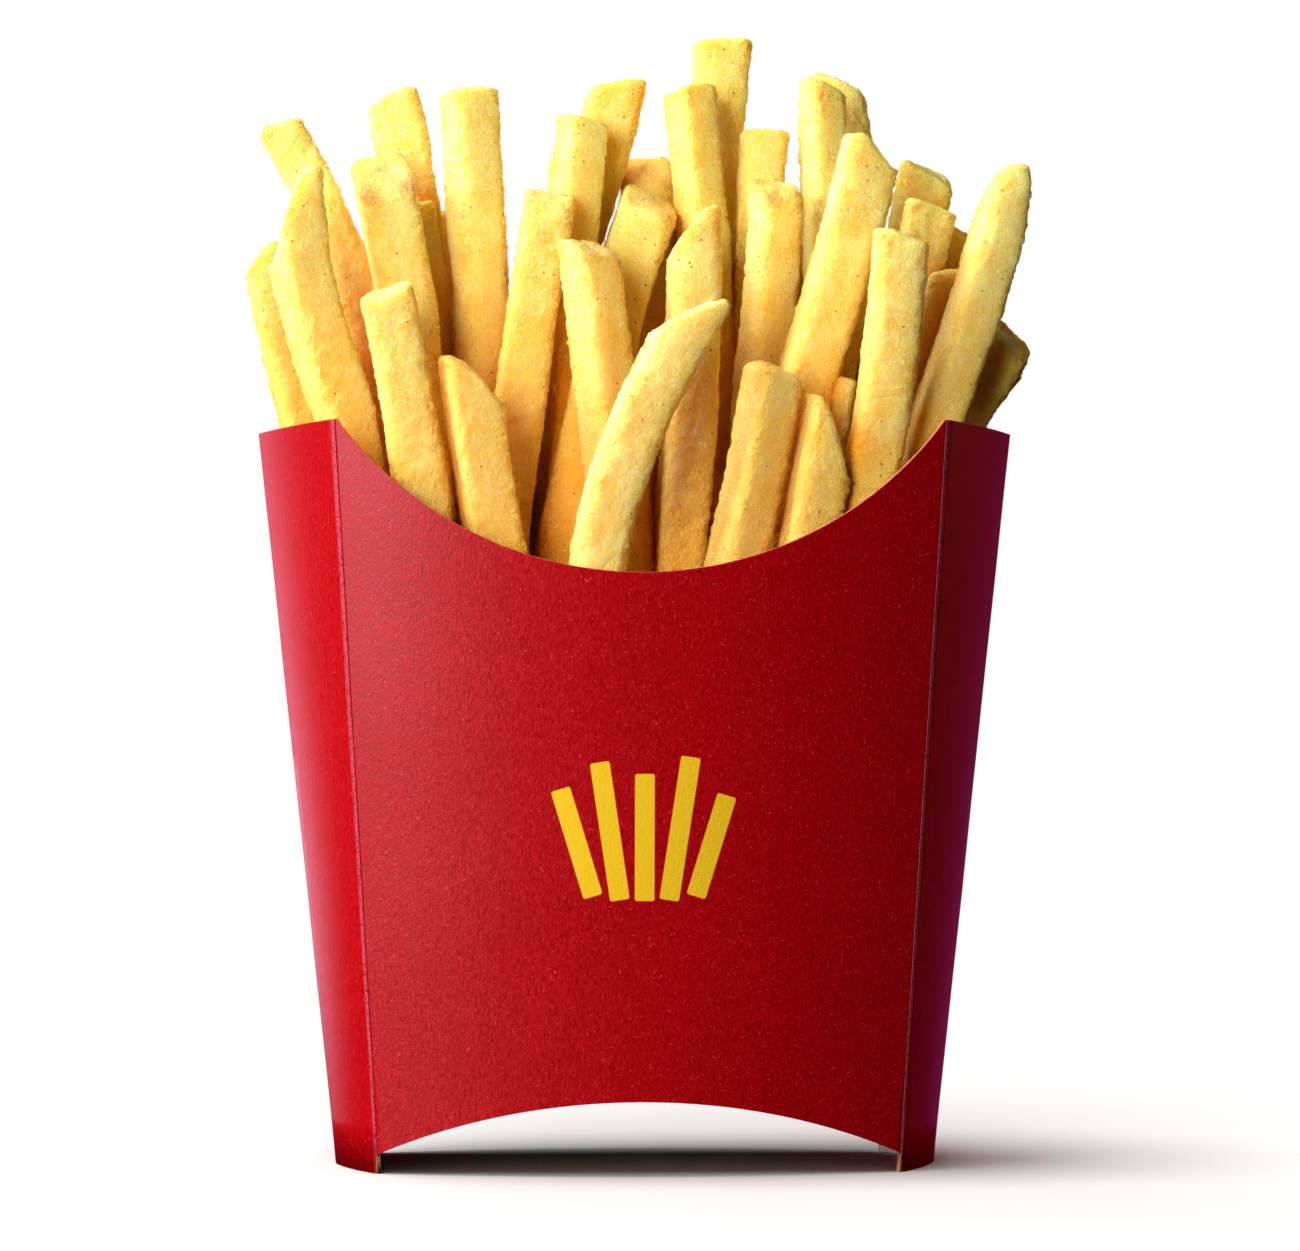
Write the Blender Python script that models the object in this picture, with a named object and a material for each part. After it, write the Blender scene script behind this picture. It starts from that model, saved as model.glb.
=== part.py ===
"""French fries in an open paperboard carton.

The carton is one folded sheet of board: a bulged front and back with a scooped top,
folded side facets that meet in an outer crease, and an arched bottom. The fries stand
in it as one heap: a core that fills the carton and the fries that rise out of it.
Lengths are in millimetres until the meshes are made.
"""
import math
import random

import bmesh
import bpy
from mathutils import Vector

for item in list(bpy.data.objects):
    bpy.data.objects.remove(item, do_unlink=True)

MM = 0.001

# Board
BOARD = 0.45
GAP = 0.35

# Carton, half sizes at the floor and at the top
TALL = 112.3
FOLD_HALF = (39.3, 45.8)
FOLD_DEPTH = (17.5, 25.0)
CREASE_HALF = (45.6, 57.4)
CREASE_TALL = 111.0
BULGE = (7.2, 9.0)
SCOOP_RADIUS = 56.3
SCOOP_LOW = 89.6
ARCH_RADIUS = 95.7
ARCH_CROWN = 11.2
PANEL_COLUMNS = 28
FLAP_REACH = 43.2
FLAP_LIFT = 0.06
FLAP_INSET = 1.0
FLAP_COLUMNS = 36

# Heap of fries
CORE_TOP = 78.0
CORE_LOW = 4.0
CORE_LIFT = 0.1
CORE_THIN = 0.6
CORE_STEP = 0.1
CORE_BUMP = 1.6
CORE_ROWS = 9
ROOT = 64.0
ROOT_MARGIN = 2.0
ROOT_REACH = 40.0
ROOT_LEAN = 0.55
ROOT_CURVE = 0.35
ROOT_STEPS = 4
AXIS_STEPS = 8
LAYER_FIRST = -27.0
LAYER_PITCH = 7.7
FAN = 0.0028
FAN_LEVEL = 100.0
VIEW_POINT = Vector((-30.0, -875.0, 80.0))
VIEW_PLANE = -25.0
CORNER = 0.24
BOWED = 1.0
BLEND_LEAST = 4.0
BLEND_REACH = 1.15
POINTED = 3.0
POINT_SIZE = 0.3
END_BEVEL = 1.3
END_SIZE = 0.8
SEED = 11

# Room between a fry and the board
ROOMY = 9.0
RIM_MARGIN = 1.0
ROOM_TESTS = 8
FIT_TRIES = 60
FIT_DEEPER = 0.06
FIT_INWARD = 0.12
MIDDLE_LAYER = 3.5
OUTER_HALF = 38.0

# Each fry as it shows in a front view measured on the plane of the front folds:
# end (across, up), a low point (across, up), bow, thickness, layer from the front,
# roll, slant of the end cut, slant of its face towards the back, length of its point
FRIES = (
    (-56.1, 136.3, -49.9, 110.7, 0.0, 6.2, 3.2, 10, 30, 0, 0.0),
    (-51.2, 142.7, -43.5, 112.6, -1.3, 8.1, 2.3, 22, 60, 0, 0.0),
    (-53.6, 155.7, -40.4, 125.5, 1.3, 6.7, 4.4, 6, -10, 0, 1.2),
    (-38.2, 148.1, -34.5, 128.5, 0.0, 8.3, 3.1, 9, -3, 40, 0.0),
    (-36.9, 159.8, -32.9, 135.9, 0.4, 8.1, 4.6, 8, 9, 0, 1.2),
    (-25.6, 161.2, -23.4, 124.8, 0.0, 7.8, 3.6, 20, 4, 0, 1.5),
    (-37.7, 131.1, -32.1, 98.9, 0.3, 7.7, 1.0, 4, 8, 10, 1.2),
    (-33.9, 144.3, -31.4, 125.5, 0.0, 7.1, 4.1, 0, 0, 0, 0.0),
    (-25.3, 118.4, -21.6, 93.7, -0.3, 8.0, 1.0, 14, -42, 0, 0.0),
    (-13.3, 145.6, -20.3, 95.9, -0.4, 7.5, 2.7, 5, 0, 10, 0.0),
    (-8.6, 156.9, -11.1, 129.9, 0.0, 6.8, 3.6, 28, -8, 0, 1.2),
    (-3.6, 161.6, -11.1, 135.6, 0.4, 8.3, 4.5, 8, 24, 0, 0.9),
    (0.6, 148.9, 1.6, 134.4, 0.0, 8.0, 5.0, 0, 0, 35, 1.2),
    (-7.8, 137.3, -3.1, 99.6, 0.0, 7.8, 1.9, 38, -22, 14, 0.9),
    (1.3, 144.2, -4.3, 128.2, 0.0, 8.6, 3.5, 6, -8, 20, 0.9),
    (7.8, 140.2, 5.5, 91.5, 0.7, 7.8, 1.9, 10, 46, 0, 0.0),
    (7.7, 127.6, -6.5, 90.7, -2.2, 7.8, 0.0, 8, 48, 0, 0.0),
    (7.1, 161.6, 9.6, 135.6, 0.0, 6.8, 3.8, 34, 6, 0, 0.6),
    (12.1, 168.4, 8.9, 131.4, 0.0, 8.1, 4.9, 8, 5, 0, 0.0),
    (18.2, 155.0, 16.4, 125.5, 0.0, 6.7, 4.1, 5, 0, 0, 1.2),
    (20.1, 146.2, 17.5, 118.4, 0.6, 7.3, 2.9, 26, -8, 25, 0.0),
    (26.8, 161.9, 27.4, 138.1, 0.0, 6.2, 3.9, 26, -22, 0, 0.9),
    (29.0, 161.9, 31.2, 144.0, 0.7, 7.1, 5.0, 0, -34, 0, 1.2),
    (34.3, 152.3, 24.1, 116.9, 0.3, 8.1, 2.0, 12, -24, 0, 0.9),
    (42.5, 148.9, 38.9, 131.1, 0.0, 8.1, 4.5, 6, -14, 12, 0.0),
    (43.1, 143.9, 39.8, 129.6, 0.0, 7.5, 3.6, 4, -8, 0, 0.9),
    (38.6, 139.7, 33.6, 101.5, 0.7, 8.1, 1.0, 6, -12, 0, 0.0),
    (55.5, 149.8, 42.6, 108.9, 0.9, 7.7, 1.9, 14, 22, 0, 12.6),
    (55.4, 123.6, 48.1, 112.2, 0.0, 7.4, 2.8, 6, -14, 20, 0.0),
    (46.5, 140.5, 43.5, 131.1, 0.0, 6.8, 4.5, 0, 0, 0, 0.0),
    (46.2, 134.2, 42.5, 123.3, 0.0, 6.2, 2.9, 0, 20, 0, 1.5),
    (19.7, 120.0, 14.1, 92.1, 0.3, 7.4, 0.6, 28, -8, 0, 0.0),
    (27.8, 110.4, 24.4, 93.2, 0.0, 8.1, 0.6, 14, -55, 0, 0.0),
    (-5.6, 120.8, -11.5, 93.2, 0.0, 8.0, 2.9, 0, 0, 0, 0.0),
    (33.6, 135.6, 29.2, 119.3, 0.0, 5.0, 3.0, 0, 0, 0, 0.0),
    (30.2, 118.8, 28.9, 110.4, 0.0, 3.8, 1.9, 0, 0, 0, 0.0),
)
# Fries of the back half stand behind these ones of the table, lower by a drawn amount
BACK_OF = (
    (1, 5.2), (3, 6.1), (4, 5.8), (5, 5.1), (6, 6.9), (8, 6.4), (9, 5.9), (10, 5.0),
    (11, 6.1), (13, 6.9), (15, 5.9), (16, 7.0), (17, 5.1), (18, 6.2), (20, 6.0),
    (21, 5.2), (23, 6.3), (24, 6.0), (26, 5.4), (27, 3.7), (31, 6.9), (32, 6.6),
    (33, 7.0), (28, 4.6), (25, 5.2), (0, 4.2), (19, 7.0),
)
# Fries of the back half that show between the measured ones, in the same terms as these
BETWEEN = (
    (-28.6, 142.0, -27.4, 120.0, 0.0, 7.2, 5.7, 8, 6, -12, 0.0),
    (5.4, 143.0, 4.6, 120.0, 0.0, 7.0, 6.2, -12, -8, -10, 0.0),
    (23.6, 138.5, 22.0, 118.0, 0.0, 7.2, 5.4, 14, 10, -8, 0.0),
)
BACK_DROP = (5.0, 17.0)
BACK_LOWEST = 108.0
BACK_THICK = (6.6, 7.7)
BACK_ROLL = (-30.0, 30.0)
BACK_CUT = (-24.0, 24.0)
BACK_FACE = (-30.0, 10.0)
BACK_LEAST = 0.3
BACK_BELOW = 2.0
# Short fries that fill the widest gaps left at this level
FILL_COUNT = 16
FILL_TRIES = 80
FILL_LEVEL = 104.0
FILL_TOP = (108.0, 123.0)
FILL_ACROSS = (-44.0, 44.0)
FILL_EDGE = 4.5
FILL_DEEP = (-1.0, 27.0)
FILL_FAN = 190.0
FILL_LEAN = (-0.05, 0.05)
FILL_THICK = (6.4, 7.6)
FILL_ROLL = (-40.0, 40.0)
FILL_CUT = (-25.0, 25.0)
FILL_FACE = (-15.0, 15.0)


def mix(pair, share):
    return pair[0] + (pair[1] - pair[0]) * share


def fold_half(z):
    return mix(FOLD_HALF, z / TALL)


def fold_depth(z):
    return mix(FOLD_DEPTH, z / TALL)


def crease_half(z):
    return mix(CREASE_HALF, z / CREASE_TALL)


def bulge(z):
    return mix(BULGE, z / TALL)


def scoop(x):
    """Height of the front's and back's top edge at x."""
    reach = SCOOP_LOW + SCOOP_RADIUS
    if abs(x) >= SCOOP_RADIUS:
        return TALL
    return min(TALL, reach - math.sqrt(SCOOP_RADIUS ** 2 - x * x))


def arch(x):
    """Height of the bottom arch at x."""
    return ARCH_CROWN - ARCH_RADIUS + math.sqrt(ARCH_RADIUS ** 2 - x * x)


def wall(x, z):
    """How far the carton's outer face lies from the middle plane at x and z."""
    half = fold_half(z)
    across = abs(x)
    if across <= half:
        return fold_depth(z) + bulge(z) * (1.0 - (across / half) ** 2)
    share = (across - half) / (crease_half(z) - half)
    return fold_depth(z) * (1.0 - share)


def level_on(edge, u):
    """Height at which the panel's line u meets an edge curve."""
    z = edge(u * FOLD_HALF[1])
    for _ in range(30):
        z = edge(u * fold_half(z))
    return z


def panel_point(u, z, side):
    depth = fold_depth(z) + bulge(z) * (1.0 - u * u)
    return Vector((u * fold_half(z), side * depth, z))


def carton_material():
    board = bpy.data.materials.new("coated_board")
    board.use_nodes = True
    shader = board.node_tree.nodes["Principled BSDF"]
    shader.inputs["Base Color"].default_value = (0.47, 0.005, 0.012, 1.0)
    shader.inputs["Roughness"].default_value = 0.42
    shader.inputs["Metallic"].default_value = 0.0
    return board


def fries_material():
    potato = bpy.data.materials.new("fried_potato")
    potato.use_nodes = True
    shader = potato.node_tree.nodes["Principled BSDF"]
    shader.inputs["Base Color"].default_value = (0.83, 0.58, 0.16, 1.0)
    shader.inputs["Roughness"].default_value = 0.55
    shader.inputs["Metallic"].default_value = 0.0
    return potato


def new_object(name, bm):
    for vert in bm.verts:
        vert.co *= MM
    mesh = bpy.data.meshes.new(name)
    bm.to_mesh(mesh)
    bm.free()
    obj = bpy.data.objects.new(name, mesh)
    bpy.context.scene.collection.objects.link(obj)
    return obj


def apply_modifiers(obj):
    """Keep the evaluated shape as the object's own mesh."""
    depsgraph = bpy.context.evaluated_depsgraph_get()
    mesh = bpy.data.meshes.new_from_object(obj.evaluated_get(depsgraph))
    obj.modifiers.clear()
    obj.data = mesh


def carton_sleeve():
    """The folded sleeve of board: two bulged panels and four side facets."""
    bm = bmesh.new()
    tops = {}
    bottoms = {}
    for side in (-1, 1):
        for column in range(PANEL_COLUMNS + 1):
            u = -1.0 + 2.0 * column / PANEL_COLUMNS
            tops[side, column] = bm.verts.new(panel_point(u, level_on(scoop, u), side))
            bottoms[side, column] = bm.verts.new(panel_point(u, level_on(arch, u), side))
    for side in (-1, 1):
        for column in range(PANEL_COLUMNS):
            corners = (bottoms[side, column], bottoms[side, column + 1],
                       tops[side, column + 1], tops[side, column])
            bm.faces.new(corners)
    for hand, column in ((-1, 0), (1, PANEL_COLUMNS)):
        crease_low = bm.verts.new((hand * CREASE_HALF[0], 0.0, 0.0))
        crease_high = bm.verts.new((hand * CREASE_HALF[1], 0.0, CREASE_TALL))
        for side in (-1, 1):
            foot = bm.verts.new(panel_point(hand, 0.0, side))
            bm.faces.new((foot, crease_low, crease_high, bottoms[side, column]))
            bm.faces.new((bottoms[side, column], crease_high, tops[side, column]))
    bmesh.ops.recalc_face_normals(bm, faces=bm.faces)
    middle = bm.faces[PANEL_COLUMNS // 2]
    if middle.normal.y > 0:
        bmesh.ops.reverse_faces(bm, faces=bm.faces)
    sleeve = new_object("carton", bm)
    thick = sleeve.modifiers.new("board", 'SOLIDIFY')
    thick.thickness = BOARD * MM
    thick.offset = -1.0
    thick.use_even_offset = True
    apply_modifiers(sleeve)
    return sleeve


def flap_half(x, z):
    """Half depth of the bottom flap at x: into the panels, clear of the facets."""
    half = fold_half(z)
    if abs(x) <= half - FLAP_INSET:
        return wall(x, z) - 0.5 * BOARD
    lean = (CREASE_HALF[0] - FOLD_HALF[0]) / FOLD_DEPTH[0]
    clear = (BOARD + GAP) * math.sqrt(1.0 + lean * lean)
    return wall(max(abs(x), half) + clear, z)


def bottom_flap():
    """The arched bottom, hinged on the front and back arches."""
    bm = bmesh.new()
    rows = []
    for column in range(FLAP_COLUMNS + 1):
        x = FLAP_REACH * (-1.0 + 2.0 * column / FLAP_COLUMNS)
        low = arch(x) + FLAP_LIFT
        deep = flap_half(x, low)
        ring = []
        for y, z in ((-deep, low), (deep, low), (deep, low + BOARD), (-deep, low + BOARD)):
            ring.append(bm.verts.new((x, y, z)))
        rows.append(ring)
    for before, after in zip(rows, rows[1:]):
        for k in range(4):
            n = (k + 1) % 4
            bm.faces.new((before[k], before[n], after[n], after[k]))
    bm.faces.new(rows[0])
    bm.faces.new(rows[-1])
    bmesh.ops.recalc_face_normals(bm, faces=bm.faces)
    return new_object("flap", bm)


def build_carton():
    sleeve = carton_sleeve()
    flap = bottom_flap()
    joined = sleeve.modifiers.new("bottom", 'BOOLEAN')
    joined.operation = 'UNION'
    joined.solver = 'EXACT'
    joined.object = flap
    apply_modifiers(sleeve)
    bpy.data.objects.remove(flap, do_unlink=True)
    sleeve.data.materials.clear()
    sleeve.data.materials.append(carton_material())
    return sleeve


def inner_wall(x, z):
    """Half depth of the free space inside the board, less the gap."""
    half = fold_half(z)
    clear = BOARD + GAP
    out = crease_half(z) - half
    lean = fold_depth(z) / out
    facet = fold_depth(z) * (1.0 - (abs(x) - half) / out)
    free = facet - clear * math.sqrt(1.0 + lean * lean)
    if abs(x) <= half:
        slope = 2.0 * bulge(z) * abs(x) / half ** 2
        free = min(free, wall(x, z) - clear * math.sqrt(1.0 + slope * slope))
    return free


def core_reach(z):
    """Largest x at which the core still has some depth."""
    reach = crease_half(z)
    while inner_wall(reach, z) < CORE_THIN:
        reach -= CORE_STEP
    return reach


def build_core():
    """The packed fries below the rim, as one block with a lumpy top."""
    bm = bmesh.new()
    draw = random.Random(SEED)
    low_reach = min(core_reach(CORE_LOW), FLAP_REACH)
    high_reach = core_reach(CORE_TOP)
    columns = []
    for column in range(PANEL_COLUMNS + 1):
        u = -1.0 + 2.0 * column / PANEL_COLUMNS
        x_low = u * low_reach
        z_low = arch(x_low) + BOARD + GAP + CORE_LIFT
        x_high = u * high_reach
        deep_low = inner_wall(x_low, z_low)
        deep_high = inner_wall(x_high, CORE_TOP)
        line = []
        for row in range(CORE_ROWS + 1):
            v = -1.0 + 2.0 * row / CORE_ROWS
            inside = 0 < row < CORE_ROWS and 0 < column < PANEL_COLUMNS
            lump = draw.uniform(-CORE_BUMP, CORE_BUMP) if inside else 0.0
            line.append(bm.verts.new((x_high, v * deep_high, CORE_TOP + lump)))
        under = []
        for v in (-1.0, 1.0):
            under.append(bm.verts.new((x_low, v * deep_low, z_low)))
        columns.append((line, under))
    for (line, under), (next_line, next_under) in zip(columns, columns[1:]):
        for row in range(CORE_ROWS):
            bm.faces.new((line[row], next_line[row], next_line[row + 1], line[row + 1]))
        bm.faces.new((under[0], next_under[0], next_under[1], under[1]))
        bm.faces.new((under[0], next_under[0], next_line[0], line[0]))
        bm.faces.new((under[1], next_under[1], next_line[-1], line[-1]))
    for line, under in (columns[0], columns[-1]):
        bm.faces.new([under[0]] + line + [under[1]])
    bmesh.ops.triangulate(bm, faces=bm.faces)
    bmesh.ops.recalc_face_normals(bm, faces=bm.faces)
    return new_object("fries", bm)


def layer_depth(layer, z):
    """Depth of a layer of fries at a height: the layers fan out with the carton."""
    return (LAYER_FIRST + LAYER_PITCH * layer) * (1.0 + FAN * (z - FAN_LEVEL))


def placed(x, z, layer):
    """A point of the measured front view, moved back to its layer."""
    y = layer_depth(layer, z)
    grow = (y - VIEW_POINT.y) / (VIEW_PLANE - VIEW_POINT.y)
    x_true = VIEW_POINT.x + (x - VIEW_POINT.x) * grow
    z_true = VIEW_POINT.z + (z - VIEW_POINT.z) * grow
    return Vector((x_true, y, z_true))


def fry_axis(fry):
    """Points of the fry's middle line, from its root in the heap to its end."""
    tip_x, tip_z, low_x, low_z, bow = fry[:5]
    layer = fry[6]
    points = []
    if low_z > ROOT + ROOT_MARGIN:
        lean = (tip_x - low_x) / (tip_z - low_z)
        root_x = low_x - lean * ROOT_LEAN * (low_z - ROOT)
        root_x = max(-ROOT_REACH, min(ROOT_REACH, root_x))
        for step in range(ROOT_STEPS):
            share = step / ROOT_STEPS
            side = share + ROOT_CURVE * share * (1.0 - share)
            x = root_x + (low_x - root_x) * side
            points.append(placed(x, ROOT + (low_z - ROOT) * share, layer))
    for step in range(AXIS_STEPS + 1):
        share = step / AXIS_STEPS
        side = 4.0 * bow * share * (1.0 - share)
        x = low_x + (tip_x - low_x) * share + side
        points.append(placed(x, low_z + (tip_z - low_z) * share, layer))
    return points


def along(points, distance):
    """Point and direction of a polyline at a distance from its start."""
    left = distance
    for first, second in zip(points, points[1:]):
        step = (second - first).length
        if left <= step or second is points[-1]:
            return first + (second - first) * (left / step), (second - first).normalized()
        left -= step
    return points[-1], (points[-1] - points[-2]).normalized()


def path_length(points):
    return sum((b - a).length for a, b in zip(points, points[1:]))


def section(half):
    """A square with cut corners, as (across, deep) pairs."""
    inner = half * (1.0 - 2.0 * CORNER)
    ring = []
    for turn in range(4):
        for p, q in ((half, inner), (inner, half)):
            for _ in range(turn):
                p, q = -q, p
            ring.append((p, q))
    return ring


def fry_rings(fry):
    """Rings of points that make up one fry."""
    thick, roll, cut, face, point = fry[5], fry[7], fry[8], fry[9], fry[10]
    points = fry_axis(fry)
    length = path_length(points)
    half = 0.5 * thick
    slope_u = math.tan(math.radians(cut))
    slope_v = math.tan(math.radians(face))
    reach = BLEND_REACH * half * (abs(slope_u) + abs(slope_v))
    blend = max(BLEND_LEAST, 2.0 * reach, point)
    shares = (0.0, 0.36, 0.7, 1.0) if abs(fry[4]) > BOWED else (0.0, 0.45, 1.0)
    stations = [(length - blend) * share for share in shares]
    if point > POINTED:
        stations.append(length - 0.5 * point)
    stations.append(length - END_BEVEL)
    stations.append(length)
    turn = math.radians(roll)
    rings = []
    for distance in stations:
        centre, ahead = along(points, distance)
        across = Vector((0.0, 1.0, 0.0)).cross(ahead).normalized()
        deep = ahead.cross(across)
        from_tip = length - distance
        share = max(0.0, 1.0 - from_tip / blend)
        size = 1.0
        if point > POINTED and from_tip < point:
            round_off = math.sqrt(1.0 - (1.0 - from_tip / point) ** 2)
            size = mix((POINT_SIZE, 1.0), round_off)
        if distance == stations[-1]:
            size *= END_SIZE
        ring = []
        for p, q in section(half * size):
            u = p * math.cos(turn) - q * math.sin(turn)
            v = p * math.sin(turn) + q * math.cos(turn)
            slide = share * (u * slope_u + v * slope_v)
            ring.append(centre + across * u + deep * v + ahead * slide)
        rings.append(ring)
    return rings


def clearance(point):
    """Room between a point and the board's inner face; a large number above the rim."""
    x, y, z = point
    rim = scoop(x) if abs(x) < FOLD_HALF[1] else TALL
    if z > rim + RIM_MARGIN:
        return ROOMY
    return inner_wall(x, z) - abs(y)


def tightest(rings):
    """Smallest room along a fry, with points between the rings tested too."""
    room = ROOMY
    for ring, after in zip(rings, rings[1:]):
        for a, b in zip(ring, after):
            for step in range(ROOM_TESTS + 1):
                room = min(room, clearance(a.lerp(b, step / ROOM_TESTS)))
    return room


def fitted(fry):
    """The fry, moved inwards until it clears the board."""
    values = list(fry)
    for _ in range(FIT_TRIES):
        if tightest(fry_rings(values)) >= 0.0:
            return values
        values[6] += FIT_DEEPER if values[6] < MIDDLE_LAYER else -FIT_DEEPER
        pull = -FIT_INWARD if values[2] > 0 else FIT_INWARD
        if abs(values[2]) > OUTER_HALF:
            values[2] += pull
            values[0] += 0.5 * pull
    return None


def back_fries():
    """Shorter fries that stand behind the measured ones."""
    draw = random.Random(SEED + 1)
    fries = []
    for index, layer in BACK_OF:
        fry = list(FRIES[index])
        drop = draw.uniform(*BACK_DROP)
        tall = max(BACK_LOWEST, fry[1] - drop)
        share = (tall - fry[3]) / (fry[1] - fry[3])
        if share < BACK_LEAST:
            tall = fry[1] - BACK_BELOW
            share = (tall - fry[3]) / (fry[1] - fry[3])
        fry[0] = fry[2] + (fry[0] - fry[2]) * share
        fry[1] = tall
        fry[5] = draw.uniform(*BACK_THICK)
        fry[6] = layer
        fry[7] = draw.uniform(*BACK_ROLL)
        fry[8] = draw.uniform(*BACK_CUT)
        fry[9] = draw.uniform(*BACK_FACE)
        fry[10] = 0.0
        fries.append(fry)
    return fries


def axis_at(fry, level):
    """Where a fry's middle line crosses a level."""
    points = fry_axis(fry)
    for low, high in zip(points, points[1:]):
        if low.z <= level <= high.z:
            return low.lerp(high, (level - low.z) / (high.z - low.z))
    return None


def fill_fries(standing):
    """Short fries, each put where the standing ones leave the most room."""
    draw = random.Random(SEED + 2)
    taken = []
    for fry in standing:
        place = axis_at(fry, FILL_LEVEL)
        if place is not None:
            taken.append(place)
    fries = []
    for _ in range(FILL_COUNT):
        best = None
        best_room = 0.0
        for _ in range(FILL_TRIES):
            place = Vector((draw.uniform(*FILL_ACROSS), draw.uniform(*FILL_DEEP), FILL_LEVEL))
            room = min((place - other).length for other in taken)
            edge = inner_wall(place.x, FILL_LEVEL) - abs(place.y)
            if edge > FILL_EDGE and room > best_room:
                best = place
                best_room = room
        taken.append(best)
        grow = (best.y - VIEW_POINT.y) / (VIEW_PLANE - VIEW_POINT.y)
        x = VIEW_POINT.x + (best.x - VIEW_POINT.x) / grow
        level_grow = 1.0 + FAN * (FILL_LEVEL - FAN_LEVEL)
        layer = (best.y / level_grow - LAYER_FIRST) / LAYER_PITCH
        top = draw.uniform(*FILL_TOP)
        lean = best.x / FILL_FAN + draw.uniform(*FILL_LEAN)
        fries.append((x + lean * (top - FILL_LEVEL), top, x, FILL_LEVEL, 0.0,
                      draw.uniform(*FILL_THICK), layer, draw.uniform(*FILL_ROLL),
                      draw.uniform(*FILL_CUT), draw.uniform(*FILL_FACE), 0.0))
    return fries


def all_fries():
    """Every fry of the heap, moved clear of the board where it has to be."""
    settled = []
    for fry in list(FRIES) + back_fries():
        placed_fry = fitted(fry)
        if placed_fry is not None:
            settled.append(placed_fry)
    for fry in fill_fries(settled) + list(BETWEEN):
        placed_fry = fitted(fry)
        if placed_fry is not None:
            settled.append(placed_fry)
    return settled


def fry_object(rings, name, holder):
    bm = bmesh.new()
    loops = [[bm.verts.new(point) for point in ring] for ring in rings]
    for ring, after in zip(loops, loops[1:]):
        for k in range(len(ring)):
            n = (k + 1) % len(ring)
            bm.faces.new((ring[k], ring[n], after[n], after[k]))
    bm.faces.new(loops[0])
    bm.faces.new(loops[-1])
    bmesh.ops.triangulate(bm, faces=bm.faces)
    bmesh.ops.recalc_face_normals(bm, faces=bm.faces)
    obj = new_object(name, bm)
    bpy.context.scene.collection.objects.unlink(obj)
    holder.objects.link(obj)
    return obj


def build_fries():
    core = build_core()
    holder = bpy.data.collections.new("standing_fries")
    bpy.context.scene.collection.children.link(holder)
    for number, fry in enumerate(all_fries()):
        fry_object(fry_rings(fry), "fry_%02d" % number, holder)
    joined = core.modifiers.new("heap", 'BOOLEAN')
    joined.operation = 'UNION'
    joined.solver = 'EXACT'
    joined.operand_type = 'COLLECTION'
    joined.collection = holder
    apply_modifiers(core)
    for obj in list(holder.objects):
        bpy.data.objects.remove(obj, do_unlink=True)
    bpy.data.collections.remove(holder)
    core.data.materials.clear()
    core.data.materials.append(fries_material())
    return core


build_carton()
build_fries()
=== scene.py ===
import math
import random

import bmesh
import bpy
import numpy as np
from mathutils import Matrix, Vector


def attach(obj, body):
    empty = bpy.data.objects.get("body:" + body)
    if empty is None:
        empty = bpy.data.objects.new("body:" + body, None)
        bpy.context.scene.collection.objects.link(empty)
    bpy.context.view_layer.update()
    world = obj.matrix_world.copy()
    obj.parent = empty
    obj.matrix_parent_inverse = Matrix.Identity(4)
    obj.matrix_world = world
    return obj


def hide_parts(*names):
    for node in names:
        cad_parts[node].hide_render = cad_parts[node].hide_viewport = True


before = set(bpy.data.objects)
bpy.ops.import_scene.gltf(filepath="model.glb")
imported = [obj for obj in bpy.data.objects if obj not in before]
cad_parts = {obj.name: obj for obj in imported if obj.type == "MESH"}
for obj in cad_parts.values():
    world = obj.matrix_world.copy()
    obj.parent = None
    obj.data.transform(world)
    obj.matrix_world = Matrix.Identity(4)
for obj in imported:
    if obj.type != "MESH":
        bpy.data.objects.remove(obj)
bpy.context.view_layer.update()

scene = bpy.context.scene

# The view: a camera with a long lens, at the height of the carton's upper half and
# a little left of its middle, so that the two side facets show almost alike.
MM = 0.001
EYE = Vector((-30.0, -875.0, 80.0))
LENS = 159.0
SENSOR = 36.0
SEES = (0.05, 20.0)
TURN_RIGHT = 2.11
TURN_UP = 0.12

view = bpy.data.cameras.new("view")
view.lens = LENS
view.sensor_width = SENSOR
view.clip_start, view.clip_end = SEES
viewer = bpy.data.objects.new("view", view)
viewer.location = EYE * MM
viewer.rotation_euler = (math.radians(90.0 + TURN_UP), 0.0, math.radians(-TURN_RIGHT))
scene.collection.objects.link(viewer)
scene.camera = viewer
scene.view_settings.view_transform = 'Standard'
scene.view_settings.look = 'None'

# The carton: one sheet of coated paperboard, die-cut, scored and glued into a flat
# sleeve. Pushed open, its front and back bulge, the scored side facets fold out to a
# crease, and the arched bottom flap swings up between the two bottom arches.
BOARD = 0.45
TALL = 112.3
FOLD_HALF = (39.3, 45.8)
FOLD_DEPTH = (17.5, 25.0)
CREASE_HALF = (45.6, 57.4)
CREASE_TALL = 111.0
BULGE = (7.2, 9.0)
SCOOP_RADIUS = 56.3
SCOOP_LOW = 89.6
ARCH_RADIUS = 95.7
ARCH_CROWN = 11.2
FLAP_REACH = 43.2
FLAP_CLEAR = 1.0
TONGUE_FROM = 40.0
FACET_BOW = -0.8
CUT_LIP = 0.10
PANEL_COLUMNS = 72
FACET_COLUMNS = 9
ROWS = 16
FLAP_ROWS = 10
TONGUE_STEPS = 3

# The board isn't quite flat: the length and height of its waves, where they start,
# and how far up the feet are that stand level on the floor
WAVE_LONG = 26.0
WAVE_HIGH = 0.05
WAVE_START = Vector((3.1, 7.7, 1.3))
FOOT = 0.5

# Each fold is a band between two pressed score lines. Its print is painted lighter, partly as wear
# from rubbing and partly as a painted sheen, and the grooves are painted darker as painted shade
SCORE_BAND = 0.45
SCORE_LINE = 0.11
SCORE_DEPTH = 0.09
FACET_WIDE = 25.0
FACET_MARGIN = 0.06
PANEL_HALF = 43.0
PANEL_MARGIN = 0.02

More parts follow.
